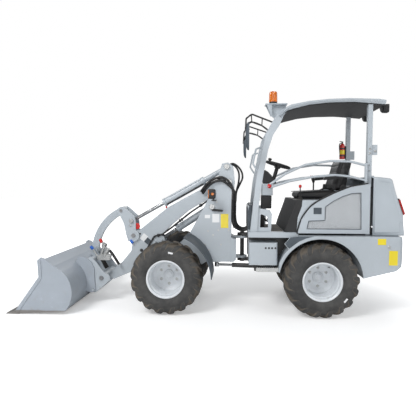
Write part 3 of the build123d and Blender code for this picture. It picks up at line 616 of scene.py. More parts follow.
def addWheelTrim(end, side):
    t = wheelTrim
    centre = tyreCentre(end, side)
    out = -1 if side == "near" else 1
    forms = []
    for k in range(t["nuts"]):
        angle = (k + 0.5) * 2 * np.pi / t["nuts"]
        offset = np.array([math.cos(angle) * t["pitch"], out * t["face"], math.sin(angle) * t["pitch"]])
        spot = centre + offset / 1000
        forms.append(lathe([(0.017, -0.001), (0.017, 0.002), (0.0125, 0.003)], spot, (0, out, 0), 16))
        forms.append(lathe([(0.0115, 0.003), (0.0115, 0.016), (0.009, 0.018)], spot, (0, out, 0), 6))
        forms.append(lathe([(0.007, 0.018), (0.007, 0.024), (0.006, 0.025)], spot, (0, out, 0), 10))
    addPiece(f"wheel_nuts_{end}_{side}", gather(*forms), zinc, f"wheel_{end}_{side}", "pin_steel")
    hub = centre + np.array([0, out * (t["hubFace"] - 2), 0]) / 1000
    cap = lathe(
        [(0.044, 0), (0.044, 0.006), (0.040, 0.010), (0.028, 0.014), (0.012, 0.016)], hub, (0, out, 0), 32
    )
    screws = [bolt(hub + np.array([math.cos(a) * 0.034, out * 0.011, math.sin(a) * 0.034]), (0, out, 0), 4)
              for a in np.arange(6) * np.pi / 3]
    dress(f"hub_cap_{end}_{side}", gather(cap, *screws), "rim_grey", f"wheel_{end}_{side}")
    foot, stem = [centre + np.array([away, -out * y, away]) for away, y in (t["valveFoot"], t["valveEnd"])]
    valve = sweep(smoothPath([foot, (foot + stem) / 2 + (0.002, 0, 0.002), stem], 4), roundProfile(0.0045, 8))
    dress(f"valve_{end}_{side}", valve, "plastic_black", f"wheel_{end}_{side}")
    beads = []
    loop = np.linspace(0, 2 * np.pi, t["beadSegments"], endpoint=False)
    for radius, at in t["beads"]:
        ring = np.stack([np.cos(loop) * radius, np.full(len(loop), out * at), np.sin(loop) * radius], 1)
        beads.append(sweep(centre + ring / 1000, roundProfile(t["beadRadius"], 8), closed=True))
    dress(f"rim_beads_{end}_{side}", gather(*beads), "rim_grey", f"wheel_{end}_{side}")


for end in ("front", "rear"):
    for side in ("near", "far"):
        addWheelTrim(end, side)


# Blank off-white mark moulded on each near sidewall: an arc of a thin band
markLook = {"inner": 0.288, "outer": 0.306, "sunk": 0.1592, "proud": 0.1606, "spread": 0.085, "steps": 9}


def sidewallMark(end, middle):
    centre = tyreCentre(end, "near")
    m = markLook
    angle = np.radians(middle) + np.linspace(-m["spread"], m["spread"], m["steps"])
    corners = [
        (m["inner"], m["sunk"]), (m["inner"], m["proud"]), (m["outer"], m["proud"]),
        (m["outer"], m["sunk"]),
    ]
    rows = []
    for radius, out in corners:
        rows.append(np.stack([radius * np.cos(angle), np.full(m["steps"], -out), radius * np.sin(angle)], 1))
    grid = np.stack(rows, 1) + centre
    addPiece(
        f"sidewall_mark_{end}",
        gridForm(grid, capStart=True, capEnd=True),
        whiteSticker,
        f"wheel_{end}_near",
        "tyre_rubber",
    )


sidewallMark("rear", -38)
sidewallMark("front", 78)
print("wheel trim ready")

# Roof: a pressed shell with rolled edges and ribs along it, and a black sheet under it that paints the shade
# of its underside
roofLook = {
    "half": 460,
    "roll": 16,
    "ribs": (-300, -150, 0, 150, 300),
    "ribDepth": 5,
    "ribWidth": 16,
    "ribEnds": (0.3, 0.97),
    "ribFade": 0.03,
    "underShadeInset": 22,
    "stations": 41,
    "points": 61,
}
roofTop = [
    (380, 2150), (430, 2206), (461, 2242), (513, 2267), (701, 2301), (908, 2319), (1114, 2323),
    (1420, 2311), (1492, 2299),
]
roofUnder = [
    (399, 2143), (440, 2180), (470, 2203), (530, 2222), (700, 2262), (909, 2282), (1166, 2284),
    (1371, 2265), (1483, 2253),
]


def roofForm(half, top, under, rib):
    t = np.linspace(0, 1, roofLook["stations"])
    knots = np.linspace(0, 1, len(top))
    above = np.stack([np.interp(t, knots, [p[i] for p in top]) for i in (0, 1)], 1)
    beneath = np.stack([np.interp(t, knots, [p[i] for p in under]) for i in (0, 1)], 1)
    y = np.linspace(-1, 1, roofLook["points"])
    overEdge = np.clip((np.abs(y) * half - half + roofLook["roll"]) / roofLook["roll"], 0, 1)
    roll = 1 - np.sqrt(np.clip(1 - overEdge**2, 0, 1))
    dip = sum(np.exp(-(((y * half - r) / roofLook["ribWidth"]) ** 4)) for r in roofLook["ribs"]) * rib
    ribStart, ribEnd = roofLook["ribEnds"]
    ends = np.clip(np.minimum(t - ribStart, ribEnd - t) / roofLook["ribFade"], 0, 1)[:, None]
    share = 0.5 * roll[None, :]
    upper = above[:, None, :] * (1 - share)[..., None] + beneath[:, None, :] * share[..., None]
    lower = beneath[:, None, :] * (1 - share)[..., None] + above[:, None, :] * share[..., None]
    upper[..., 1] -= dip[None, :] * ends
    across = np.broadcast_to(y * half, (len(t), len(y)))
    top3 = np.stack([upper[..., 0], across, upper[..., 1]], -1)
    low3 = np.stack([lower[..., 0], across, lower[..., 1]], -1)[:, ::-1]
    grid = np.concatenate([top3, low3], 1)
    return gridForm((grid + (pivotShift, 0, 0)) / 1000, capStart=True, capEnd=True)


roof = dress(
    "roof_shell",
    roofForm(roofLook["half"], roofTop, roofUnder, roofLook["ribDepth"]),
    "paint_grey",
    smooth=40,
)
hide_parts("roof")
# Painted shade: the black sheet just under the roof stands in for the shade on the roof's underside
underShadeTop = [(x + 2, z + 1) for x, z in roofUnder[1:]]
underShadeLow = [(x + 3, z - 7) for x, z in roofUnder[1:]]
underShade = roofForm(roofLook["half"] - roofLook["underShadeInset"], underShadeTop, underShadeLow, 0)
dress("roof_underside_shade", underShade, "plastic_black", smooth=40)
print("roof ready")


# Hood: a bent shell open in front and below, with a pressed panel on each side and a grille in the tail
def openShell(points, y0, y1, skip):
    p, faces = plate(points, y0, y1)
    return p, [f for i, f in enumerate(faces) if i - 2 not in skip]


hoodLook = {"front": 1372, "top": 1495, "half": 480, "edge": 0.026, "wall": 0.006, "openSides": (7, 8)}
hoodOutline = [
    (hoodLook["front"], hoodLook["top"]), (1434, 1492), (1567, 1476), (1612, 1314), (1690, 1093),
    (1692, 1019), (1706, 892), (1706, 872), (hoodLook["front"], 872),
]
hood = dress(
    "hood_shell",
    openShell(hoodOutline, -hoodLook["half"], hoodLook["half"], hoodLook["openSides"]),
    "paint_grey",
    "hood",
    bevel=hoodLook["edge"],
    segments=5,
    smooth=60,
    solid=hoodLook["wall"],
)
hood.modifiers.move(0, 1)
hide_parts("hood")
creases = [
    (1392, 1440), (1480, 1436), (1536, 1400), (1572, 1290), (1628, 1130), (1642, 1040), (1650, 905),
    (1392, 905),
]
for name, y in (("near", -484), ("far", 478)):
    dress(f"hood_panel_{name}", plate(creases, y, y + 6), "paint_grey", "hood", bevel=0.004, segments=3)
hoodPins = [
    lathe(
        [(0.0063, 0), (0.012, 0), (0.012, 0.033), (0.0063, 0.033)],
        place(hoodLook["front"], y, hoodLook["top"]),
        (0, 1, 0),
        20,
        closed=True,
    )
    for y in (-460, 427)
]
dress("hood_knuckles", gather(*hoodPins), "paint_grey", "hood")
ventLook = {"top": (1612, 1314), "foot": (1690, 1093), "shares": (0.12, 0.88), "slats": 9, "half": 250}
slatSection = np.array([(-3, 9), (5, 6), (8, -5), (1, -6)])
ventTop, ventFoot = np.array(ventLook["top"]), np.array(ventLook["foot"])
ventSlats = []
for share in np.linspace(*ventLook["shares"], ventLook["slats"]):
    slat = slatSection + ventTop + (ventFoot - ventTop) * share
    ventSlats.append(plate(slat, -ventLook["half"], ventLook["half"]))
dress("hood_vent", gather(*ventSlats), "plastic_black", "hood")
ventBack = plate([(1618, 1306), (1620.5, 1306.5), (1688, 1108), (1685.5, 1107)], -262, 262)
dress("hood_vent_back", ventBack, "plastic_black", "hood")
print("hood ready")

# Tail lamps: a black bezel with one red field outside and an orange under a red one inside
tailLook = {"inner": 398, "outer": 466, "top": (1650, 1258), "foot": (1706, 1100), "deep": 14}
for name, sign in (("near", -1), ("far", 1)):
    y0, y1 = sorted((sign * tailLook["inner"], sign * tailLook["outer"]))
    bezel = plate([(1628, 1262), (1646, 1266), (1706, 1097), (1688, 1086)], y0, y1)
    dress(f"tail_bezel_{name}", bezel, "plastic_black", "hood", bevel=0.005, segments=3)
# Shares of the lamp's height, Y from and to, slot
tailFields = {
    "outer": (0.02, 0.98, -475, -442, "lens_red"),
    "turn": (0.02, 0.48, -439, -402, "lens_orange"),
    "stop": (0.52, 0.98, -439, -402, "lens_red"),
}
for name, (low, high, y0, y1, slot) in tailFields.items():
    run = np.array(tailLook["foot"]) - tailLook["top"]
    upper, lower = [np.array(tailLook["top"]) + run * share for share in (low, high)]
    corner = np.array((-tailLook["deep"], -5))
    field = plate([upper + corner, upper + (1, 0), lower + (1, 0), lower + corner], y0, y1)
    dress(f"tail_{name}", both(field), slot, "hood", bevel=0.003)

# Beacon on its bracket: a ribbed dome on a black foot
shelf = gather(
    plate([(262, 2346), (519, 2346), (519, 2360), (262, 2360)], -60, 60),
    plate(
        [(280, 2346), (510, 2346), (510, 2250), (470, 2234), (446, 2214), (400, 2166), (334, 2224)], -4, 4
    ),
    plate([(276, 2346), (340, 2346), (340, 2226), (334, 2224)], -56, -52),
    plate([(276, 2346), (340, 2346), (340, 2226), (334, 2224)], 52, 56),
)
shelf = dress("beacon_bracket", shelf, "paint_grey", bevel=0.002)
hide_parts("beacon")
beaconLook = {"centre": (358, 0, 2360), "ribs": 36, "ribHeight": 0.0012, "ribbedRows": 6, "segments": 144}
beaconFoot = place(*beaconLook["centre"])
foot = lathe([(0.050, 0), (0.050, 0.012), (0.046, 0.018), (0.046, 0.024)], beaconFoot, (0, 0, 1), 40)
dress("beacon_foot", foot, "plastic_black")
height = np.array([0.024, 0.030, 0.060, 0.100, 0.128, 0.143, 0.151, 0.153])
radius = np.array([0.046, 0.0475, 0.0465, 0.0455, 0.0445, 0.039, 0.024, 0.004])
angle = np.linspace(0, 2 * np.pi, beaconLook["segments"], endpoint=False)
ribbed = np.arange(len(radius)) < beaconLook["ribbedRows"]
ribs = beaconLook["ribHeight"] * np.cos(beaconLook["ribs"] * angle)[None, :] * ribbed[:, None]
ribbedRadius = radius[:, None] + ribs
heights = np.repeat(height[:, None], len(angle), 1)
dome = np.stack([ribbedRadius * np.cos(angle), ribbedRadius * np.sin(angle), heights], -1) + beaconFoot
dress("beacon_dome", gridForm(dome, capStart=True, capEnd=True), "lens_orange")


# Squared ring: cosine and sine, each raised to a power below 1 with its sign kept
def squaredRing(width, height, power, count):
    turn = np.linspace(0, 2 * np.pi, count, endpoint=False)
    waves = [np.sign(wave) * np.abs(wave) ** power for wave in (np.cos(turn), np.sin(turn))]
    return np.stack([waves[0] * width / 2, waves[1] * height / 2], 1)


# Layers: the ring grown by each station's share, at its distance along out, joined into one form
def ringLayers(centre, out, ring, stations):
    out = np.array(out, float)
    side = np.array([0, 1, 0]) if abs(out[1]) < 0.5 else np.array([1, 0, 0])
    rows = []
    for share, at in stations:
        grown = ring * share
        rows.append(centre + out * at + np.outer(grown[:, 0], side) + np.outer(grown[:, 1], (0, 0, 1)))
    return gridForm((np.array(rows) + (pivotShift, 0, 0)) / 1000, capStart=True, capEnd=True)


# Lamps: a housing with a rounded back, a chrome bowl and a glass in front
def addLamp(name, centre, out, size, body):
    w, h, d = size
    ring = squaredRing(w, h, 0.4, 40)
    stations = [
        (0.60, -d * 0.5), (0.86, -d * 0.44), (0.98, -d * 0.2), (1.0, 0.1 * d), (1.0, d * 0.5),
        (0.90, d * 0.5), (0.88, d * 0.36),
    ]
    dress(f"{name}_housing", ringLayers(centre, out, ring, stations), "plastic_black", body, smooth=50)
    bowl = lathe(
        [(h * 0.40, d * 0.37), (h * 0.38, d * 0.38), (h * 0.2, d * 0.365), (h * 0.05, d * 0.362)],
        (0, 0, 0),
        out,
        32,
    )
    addPiece(f"{name}_bowl", (bowl[0] / 1000 + place(*centre), bowl[1]), reflector, body, "rod_chrome")
    pane = [(0.87, d * 0.40), (0.88, d * 0.46), (0.6, d * 0.49), (0.2, d * 0.5)]
    addPiece(f"{name}_glass", ringLayers(centre, out, ring, pane), lampGlass, body, "rod_chrome", smooth=50)


workLamp = {"x": 1532, "y": 300, "z": 2236, "size": (90, 90, 62)}
frontLamp = {"x": -342, "y": 355, "z": 1308, "size": (84, 112, 80), "spot": (-336, 1308)}
for name, sign in (("near", -1), ("far", 1)):
    middle = (workLamp["x"], sign * workLamp["y"], workLamp["z"])
    addLamp(f"work_lamp_{name}", middle, (1, 0, 0), workLamp["size"], "rear_frame")
workBracket = both(plate([(1478, 2262), (1500, 2262), (1504, 2206), (1496, 2206)], -330, -270))
workBracket = dress("work_lamp_brackets", workBracket, "frame_black", bevel=0.002)
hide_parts("work_lamps")
for name, sign in (("near", -1), ("far", 1)):
    y = sign * frontLamp["y"]
    addLamp(
        f"front_lamp_{name}",
        (frontLamp["x"], y, frontLamp["z"]),
        (-1, 0, 0),
        frontLamp["size"],
        "front_frame",
    )
    spotFoot = place(frontLamp["spot"][0], y + sign * 34, frontLamp["spot"][1])
    spot = lathe([(0.017, 0), (0.017, 0.006), (0.013, 0.010), (0.004, 0.011)], spotFoot, (0, sign, 0), 24)
    edge = box(-386, -378, y + sign * 24, y + sign * 43, 1262, 1354)
    dress(f"indicator_{name}", gather(spot, edge), "lens_orange", "front_frame", bevel=0.001)
lampArm = both(gather(plate([(-352, 1228), (-300, 1228), (-300, 1238), (-352, 1238)], -350, -188),
                      plate([(-340, 1236), (-318, 1236), (-318, 1262), (-340, 1262)], -350, -310)))
lampArm = dress("front_lamp_arms", lampArm, "frame_black", "front_frame", bevel=0.002)
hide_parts("front_lamps")
print("lamps ready")

# Mirrors: a shell bulging forwards, the glass set in behind
mirrorLook = {"y": 600, "z": 1915, "width": 150, "height": 290, "corner": 0.7, "segments": 48}
shellStations = [
    (0.10, 20.5), (0.45, 22), (0.78, 28), (0.94, 38), (1.0, 50), (1.0, 57), (0.95, 57.5), (0.94, 53)
]
paneStations = [(0.93, 53.2), (0.92, 54.5), (0.4, 54.8), (0.05, 54.9)]
mirrorRing = squaredRing(*[mirrorLook[key] for key in ("width", "height", "corner", "segments")])
for name, sign in (("near", -1), ("far", 1)):
    middle = (0, sign * mirrorLook["y"], mirrorLook["z"])
    shell = dress(
        f"mirror_shell_{name}",
        ringLayers(middle, (1, 0, 0), mirrorRing, shellStations),
        "plastic_slate",
        smooth=50,
    )
    if name == "near":
        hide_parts("mirror_heads")
    pane = ringLayers(middle, (1, 0, 0), mirrorRing, paneStations)
    addPiece(f"mirror_glass_{name}", pane, mirrorGlass, "rear_frame", "rod_chrome")
lowArm = [(322, -400, 1960), (200, -415, 2050), (90, -450, 2085), (55, -520, 2050), (40, -575, 1975)]
struts = [[(200, -415, 2050), (205, -415, 2135)], [(90, -450, 2085), (85, -448, 2165)]]
bars = gather(
    hose(lowArm, 8),
    *[sweep(places(s), roundProfile(0.006, 8)) for s in struts],
    sweep(
        places([(60, -590, 1990), (34, -596, 1985), (30, -598, 1900), (34, -596, 1850)]),
        roundProfile(0.008, 10),
    ),
)
dress("mirror_low_arms", both(bars), "frame_black")
print("mirrors ready")

# Steering wheel: an oval rim with finger grips, three dished spokes, hub and knob
wheelLook = {
    "centre": (422, 0, 1646), "axis": (0.284, 0, 0.959), "radius": 141, "thick": 14, "oval": 0.85,
    "grips": 24, "gripDepth": 0.05, "spokes": 3, "spokeRun": (28, 134), "dish": 16,
    "knobAngle": 2.4, "knobUp": 12,
}
axis = np.array(wheelLook["axis"]) / np.linalg.norm(wheelLook["axis"])
sideways = np.array([0, 1.0, 0])
forwards = np.cross(sideways, axis)
hubCentre = place(*wheelLook["centre"])


def wheelPoint(r, angle, up):  # millimetres around the wheel's axis
    r, angle, up = r[..., None], angle[..., None], up[..., None]
    return hubCentre + (np.cos(angle) * forwards * r + np.sin(angle) * sideways * r + axis * up) / 1000


around = np.linspace(0, 2 * np.pi, 96, endpoint=False)[:, None]
section = np.linspace(0, 2 * np.pi, 16, endpoint=False)[None, :]
underSide = np.cos(section) < 0
thick = wheelLook["thick"] * (1 + wheelLook["gripDepth"] * np.cos(wheelLook["grips"] * around) * underSide)
rimRadius = wheelLook["radius"] + wheelLook["oval"] * thick * np.cos(section)
rim = gridForm(wheelPoint(rimRadius, around + 0 * section, thick * np.sin(section)), closeU=True)
spokes = []
spokeStart, spokeEnd = wheelLook["spokeRun"]
for k in range(wheelLook["spokes"]):
    direction = np.pi / 2 + k * 2 * np.pi / wheelLook["spokes"] + np.pi / 6
    run = np.linspace(spokeStart, spokeEnd, 8)
    dish = -wheelLook["dish"] * (1 - (run - spokeStart) / (spokeEnd - spokeStart)) ** 1.5
    line = wheelPoint(run, np.full(8, direction), dish)
    spokes.append(sweep(line, roundProfile(0.0075, 10), scale=np.linspace(1.5, 1.0, 8)))
hub = lathe(
    [(0.036, -0.040), (0.036, -0.012), (0.033, -0.004), (0.024, 0.001), (0.008, 0.002)],
    hubCentre,
    axis,
    32,
)
steering = dress("steering_rim", gather(rim, hub, *spokes), "plastic_black", "steering_wheel", smooth=45)
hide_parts("steering_wheel")
knobSpot = [np.array([float(wheelLook[key])]) for key in ("radius", "knobAngle", "knobUp")]
knobFoot = wheelPoint(*knobSpot)[0]
knob = lathe(
    [(0.008, 0), (0.008, 0.014), (0.019, 0.022), (0.023, 0.034), (0.019, 0.046), (0.006, 0.050)],
    knobFoot,
    axis,
    24,
)
dress("steering_knob", knob, "plastic_black", "steering_wheel", smooth=50)
print("steering wheel ready")


# Operator's controls: a long lever with a grip and a short one, each in its bellows, with red knobs
def bellows(x, y, z, low, high, tall, folds=5):
    h = np.linspace(0, 1, folds * 6 + 1)
    r = (low + (high - low) * h) + 3 * np.cos(h * folds * 2 * np.pi)
    return lathe(np.stack([r, h * tall], 1) / 1000, place(x, y, z), (0, 0, 1), 24)


gripPath = places([(900, 300, 1440), (898, 300, 1462), (892, 300, 1485), (884, 300, 1505), (872, 300, 1518)])
grip = sweep(
    smoothPath(gripPath, 5),
    roundProfile(0.018, 16),
    scale=0.75 + 0.35 * np.sin(np.linspace(0.3, 3.0, 21)),
)
stick = sweep(places([(900, 300, 1250), (900, 300, 1345), (900, 300, 1450)]), roundProfile(0.009, 12))
leverShaft = sweep(places([(640, -300, 1243), (640, -300, 1300), (638, -300, 1380)]), roundProfile(0.006, 10))
controls = dress(
    "control_levers",
    gather(
        grip, stick, leverShaft, bellows(900, 300, 1243, 42, 16, 90), bellows(640, -300, 1243, 28, 12, 50)
    ),
    "plastic_black",
    smooth=50,
)
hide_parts("controls")
ball = lathe(
    [(0.007, 0), (0.014, 0.008), (0.017, 0.020), (0.014, 0.032), (0.004, 0.038)],
    place(638, -300, 1374),
    (0, 0, 1),
    20,
)
buttons = lathe([(0.006, 0), (0.006, 0.005), (0.004, 0.006)], place(866, 300, 1522), (-0.7, 0, 0.7), 14)
addPiece("lever_knobs", gather(ball, buttons), redPlastic, "rear_frame", "paint_red", smooth=50)

# Extinguisher: bottle with rolled shoulder, valve, hose and two straps
bottleAt = (1272, 400)
bottle = lathe(
    [
        (0.020, 0), (0.031, 0.002), (0.032, 0.010), (0.032, 0.165), (0.029, 0.182), (0.018, 0.196),
        (0.011, 0.200),
    ],
    place(*bottleAt, 1735),
    (0, 0, 1),
    32,
)
bottle = dress("extinguisher_bottle", bottle, "paint_red", smooth=50)
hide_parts("extinguisher")
valve = gather(
    lathe(
        [(0.011, 0.2), (0.011, 0.212), (0.007, 0.214), (0.007, 0.222)],
        place(*bottleAt, 1735),
        (0, 0, 1),
        16,
    ),
    plate([(1240, 1957), (1286, 1953), (1286, 1959), (1242, 1966)], 394, 406),
    hose(
        [(1262, 396, 1944), (1240, 396, 1930), (1236, 396, 1890), (1240, 396, 1840), (1244, 396, 1800)],
        5,
        6,
    ),
)
dress("extinguisher_valve", valve, "plastic_black", smooth=50)
strap = [(0.0322, 0), (0.0335, 0.001), (0.0335, 0.017), (0.0322, 0.018)]
straps = [lathe(strap, place(*bottleAt, z), (0, 0, 1), 32, closed=True) for z in (1770, 1860)]
holder = plate([(1302, 1740), (1318, 1740), (1318, 1900), (1302, 1900)], 386, 414)
dress("extinguisher_holder", gather(holder, *straps), "frame_black", bevel=0.001)
band = lathe(
    [(0.0323, 0), (0.0326, 0.001), (0.0326, 0.049), (0.0323, 0.05)],
    place(*bottleAt, 1798),
    (0, 0, 1),
    32,
    closed=True,
)
addPiece("extinguisher_band", band, yellowSticker, "rear_frame", "paint_red")
print("controls ready")

# Side panels: perforated sheet behind a black seal, in a raised frame, with a blank plate
grilleFace = [
    (686, 935), (705, 1022), (877, 1030), (877, 1173), (964, 1238), (1057, 1286), (1150, 1318),
    (1248, 1324), (1257, 935),
]
sealStep = 20  # millimetres between the seal's rings
for name, sign in (("near", -1), ("far", 1)):
    y0, y1 = sorted((sign * 456, sign * 461))
    sheet = addPiece(
        f"grille_sheet_{name}", plate(grilleFace, y0, y1), perforated, "rear_frame", "paint_grey"
    )
    if name == "near":
        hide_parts("grilles")
    loop = np.array(grilleFace, float)
    ring = []
    for a, b in zip(loop, np.roll(loop, -1, 0)):
        cut = max(int(np.hypot(*(b - a)) / sealStep), 2)
        ring.append(a + (b - a) * np.linspace(0, 1, cut, endpoint=False)[:, None])
    ring = np.concatenate(ring)
    path = np.array([place(x, sign * 469, z) for x, z in ring])
    dress(f"grille_seal_{name}", sweep(path, roundProfile(0.0035, 8), closed=True), "plastic_slate")
    blank = plate([(755, 1095), (840, 1095), (840, 1165), (755, 1165)], sign * 468, sign * 472)
    dress(f"blank_plate_{name}", blank, "plastic_slate", bevel=0.002)
doorEdge = [
    (586, 884), (586, 910), (628, 1048), (712, 1168), (796, 1234), (974, 1325), (1130, 1389), (1322, 1426)
]
seal = both(hose([(x, -463, z) for x, z in doorEdge], 7, 8))
dress("panel_seals", seal, "plastic_black")
print("side panels ready")

# Seat: two stuffed pads swollen by a cloth simulation, piped and stitched
seatLook = {
    "voxel": 0.006, "pressure": 4.0, "tension": 12, "frames": 20, "reach": 0.014,
    "channelDepth": 0.0045, "channelWidth": 0.012, "borderInset": 0.062, "borderWidth": 0.005,
    "panelInset": 0.05, "panelFade": 0.02, "hold": 0.0005,
}


def evaluatedMesh(piece):
    return bpy.data.meshes.new_from_object(piece.evaluated_get(bpy.context.evaluated_depsgraph_get()))


def stuffedPad(name, outline, half, inset, node, channels, along):
    low, high = np.min(outline, 0), np.max(outline, 0)
    middle = (low + high) / 2
    shrunk = [
        tuple(middle + (np.array(q) - middle) * (1 - inset / np.maximum((high - low) / 2, 1)))
        for q in outline
    ]
    pad = dress(name, plate(shrunk, -half + inset, half - inset), "seat_vinyl", bevel=0.018, segments=4)
    solid = evaluatedMesh(pad)
    pad.modifiers.clear()
    old = pad.data
    pad.data = solid
    bpy.data.meshes.remove(old)
    remesh = pad.modifiers.new("remesh", "REMESH")
    remesh.mode = "VOXEL"
    remesh.voxel_size = seatLook["voxel"]
    solid = evaluatedMesh(pad)
    pad.modifiers.clear()
    pad.data = solid
    before = np.array([v.co[:] for v in solid.vertices])
    cloth = pad.modifiers.new("cloth", "CLOTH")
    cloth.settings.use_pressure = True
    cloth.settings.uniform_pressure_force = seatLook["pressure"]
    cloth.settings.effector_weights.gravity = 0
    cloth.settings.tension_stiffness = seatLook["tension"]
    cloth.point_cache.frame_end = seatLook["frames"]
    for frameNumber in range(1, seatLook["frames"] + 1):
        bpy.context.scene.frame_set(frameNumber)
    swollen = evaluatedMesh(pad)
    after = np.array([v.co[:] for v in swollen.vertices])
    pad.modifiers.clear()
    moved = after - before
    length = np.linalg.norm(moved, axis=1, keepdims=True)
    after = before + moved * np.minimum(1, seatLook["reach"] / np.maximum(length, 1e-6))
    pad.data = swollen
    # The pad stays in its solid's box, and sewn channels run across it and along its borders
    corner0, corner1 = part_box(node)
    after = np.clip(after, np.array(corner0) + seatLook["hold"], np.array(corner1) - seatLook["hold"])
    swollen.vertices.foreach_set("co", after.ravel())
    swollen.update()
    normal = np.empty(len(after) * 3)
    swollen.vertex_normals.foreach_get("vector", normal)
    normal = normal.reshape(-1, 3)
    run = after @ np.array(along)
    run = (run - run.min()) / (run.max() - run.min())
    across = np.abs(after[:, 1])
    inside = np.clip((half / 1000 - seatLook["panelInset"] - across) / seatLook["panelFade"], 0, 1)
    dip = sum(np.exp(-(((run - c) / seatLook["channelWidth"]) ** 2)) for c in channels)
    border = (across - (half / 1000 - seatLook["borderInset"])) / seatLook["borderWidth"]
    stitched = np.clip(dip * inside + np.exp(-(border**2)), 0, 1)
    after -= normal * (stitched * seatLook["channelDepth"])[:, None]
    swollen.vertices.foreach_set("co", after.ravel())
    swollen.update()
    bpy.context.scene.frame_set(1)
    pad.data.materials.clear()
    pad.data.materials.append(finishes["seat_vinyl"])
    pad.data.shade_smooth()
    pad.modifiers.new("softened", "SUBSURF").levels = 1
    pad.modifiers["softened"].render_levels = 1
    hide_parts(node)
    return pad


stuffedPad(
    "seat_cushion_pad",
    [(600, 1257), (600, 1322), (700, 1330), (1080, 1345), (1080, 1257)],
    235,
    9,
    "seat_cushion",
    (0.25, 0.42, 0.59, 0.76),
    (1, 0, 0),
)
stuffedPad("seat_back_pad", [(1004, 1346), (1118, 1700), (1232, 1700), (1148, 1346)], 230, 9, "seat_back",
           (0.2, 0.4, 0.6, 0.8), (0, 0, 1))
cushionEdge = [(612, 1328), (690, 1333), (1000, 1349)]
piping = both(
    gather(
        hose([(x, -219, z) for x, z in cushionEdge], 4, 6),
        hose([(x, -217, z) for x, z in ((1036, 1400), (1085, 1560), (1124, 1688))], 4, 6),
    )
)
dress("seat_piping", piping, "plastic_black")
# Arm rests and a belt reel with its buckle
rest = plate([(905, 1462), (1075, 1478), (1078, 1506), (912, 1498), (898, 1480)], -282, -238)
stem = plate([(1055, 1400), (1085, 1400), (1092, 1480), (1066, 1480)], -268, -256)
dress("arm_rests", both(gather(rest, stem)), "seat_vinyl", bevel=0.010, segments=4)
reel = lathe(
    [(0.030, 0), (0.036, 0.004), (0.036, 0.030), (0.030, 0.034)], place(1120, -262, 1372), (0, 1, 0), 24
)
buckle = plate([(1000, 1352), (1040, 1354), (1036, 1420), (1008, 1420)], -252, -240)
dress("belt_reel", both(gather(reel, buckle)), "plastic_black", bevel=0.003)
print("seat ready")

# Seat box, floor mat, console with its dash, pedals, guard knobs and front cowl
cladding = [(449, 897), (474, 979), (570, 1248), (640, 1248), (634, 1180), (592, 1060), (580, 897)]
dress("seat_box_cladding", plate(cladding, -459, 459), "plastic_black", bevel=0.006, segments=3)
matLook = {"x": (92, 446), "half": 362, "ribs": 15, "end": 14}
mat = [box(matLook["x"][0], matLook["x"][1], -matLook["half"], matLook["half"], 895, 899)]
for x in np.linspace(matLook["x"][0] + matLook["end"], matLook["x"][1] - matLook["end"], matLook["ribs"]):
    mat.append(plate([(x - 5, 899), (x - 3, 902), (x + 3, 902), (x + 5, 899)], -350, 350))
addPiece(
    "floor_mat",
    gather(*mat),
    mouldedPlastic("matRubber", (0.075, 0.068, 0.058), 0.7, 700, 0.9),
    "rear_frame",
    "plastic_black",
)
upper = gather(box(232, 352, -128, 128, 1286, 1423))
lowBox = box(228, 340, -118, 118, 1132, 1284)
post = box(222, 262, -60, 60, 897, 1134)
console = dress("console_low", gather(lowBox, post), "plastic_black", bevel=0.006, segments=3)
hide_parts("console")
dress("console_box", upper, "paint_grey", bevel=0.006, segments=3)
shroud = plate([(246, 1424), (244, 1560), (256, 1588), (300, 1560), (392, 1455), (392, 1424)], -118, 118)
dress("dash_shroud", shroud, "plastic_black", bevel=0.012, segments=4)
dials = [
    lathe(
        [(0.026, 0), (0.028, 0.003), (0.024, 0.005), (0.003, 0.0045)],
        place(322, y, 1532),
        (0.62, 0, 0.78),
        28,
    )
    for y in (-58, 0, 58)
]
dress("dash_dials", gather(*dials), "plastic_slate", smooth=50)
pads = []
for y in (-62, 62):
    pads.append(plate([(330, 918), (348, 925), (318, 1002), (302, 995)], y - 34, y + 34))
    pads.append(plate([(262, 985), (270, 1010), (312, 978), (308, 962)], y - 8, y + 8))
dress("pedals", gather(*pads), "plastic_black", bevel=0.004)
guardKnob = lathe(
    [(0.004, 0), (0.020, 0.006), (0.025, 0.020), (0.020, 0.034), (0.004, 0.040)],
    place(283, -470, 1396),
    (0, 1, 0),
    24,
)
addPiece("guard_knob_near", guardKnob, redPlastic, "guard_near", "paint_red", smooth=60)
addPiece("guard_knob_far", mirrored(guardKnob), redPlastic, "guard_far", "paint_red", smooth=60)
cowl = plate([(56, 905), (56, 1120), (62, 1160), (76, 1184), (104, 1188), (104, 905)], -352, 352)
dress("front_cowl", cowl, "plastic_slate", bevel=0.010, segments=4)
print("cab fittings ready")

# Hoses and pipes
hoses = {
    "tower_hose_a": (
        15,
        [
            (-488, -110, 1330), (-426, -160, 1408), (-342, -208, 1472), (-238, -214, 1495),
            (-157, -212, 1443), (-112, -196, 1350), (-112, -165, 1190), (-116, -150, 1080),
            (-112, -140, 980), (-90, -130, 905),
        ],
    ),
    "tower_hose_b": (
        15,
        [
            (-470, -90, 1310), (-410, -150, 1384), (-335, -208, 1440), (-245, -214, 1460),
            (-170, -212, 1415), (-95, -180, 1330), (-85, -140, 1190), (-86, -120, 1070),
            (-85, -110, 960), (-70, -100, 890),
        ],
    ),
    "tower_loop": (
        11,
        [
            (-172, -60, 1640), (-113, -60, 1660), (-54, -60, 1626), (-10, -62, 1562), (0, -66, 1491),
            (-29, -72, 1420), (-70, -80, 1326), (-80, -84, 1200), (-90, -80, 1080),
        ],
    ),
    "tower_loop_far": (
        11,
        [
            (-172, 60, 1640), (-118, 60, 1655), (-66, 60, 1610), (-40, 62, 1540), (-45, 66, 1440),
            (-70, 72, 1330), (-85, 78, 1180), (-92, 76, 1060),
        ],
    ),
}
for name, (radius, route) in hoses.items():
    addPiece(name, hose(route, radius), hoseFinish, "front_frame", "plastic_black")


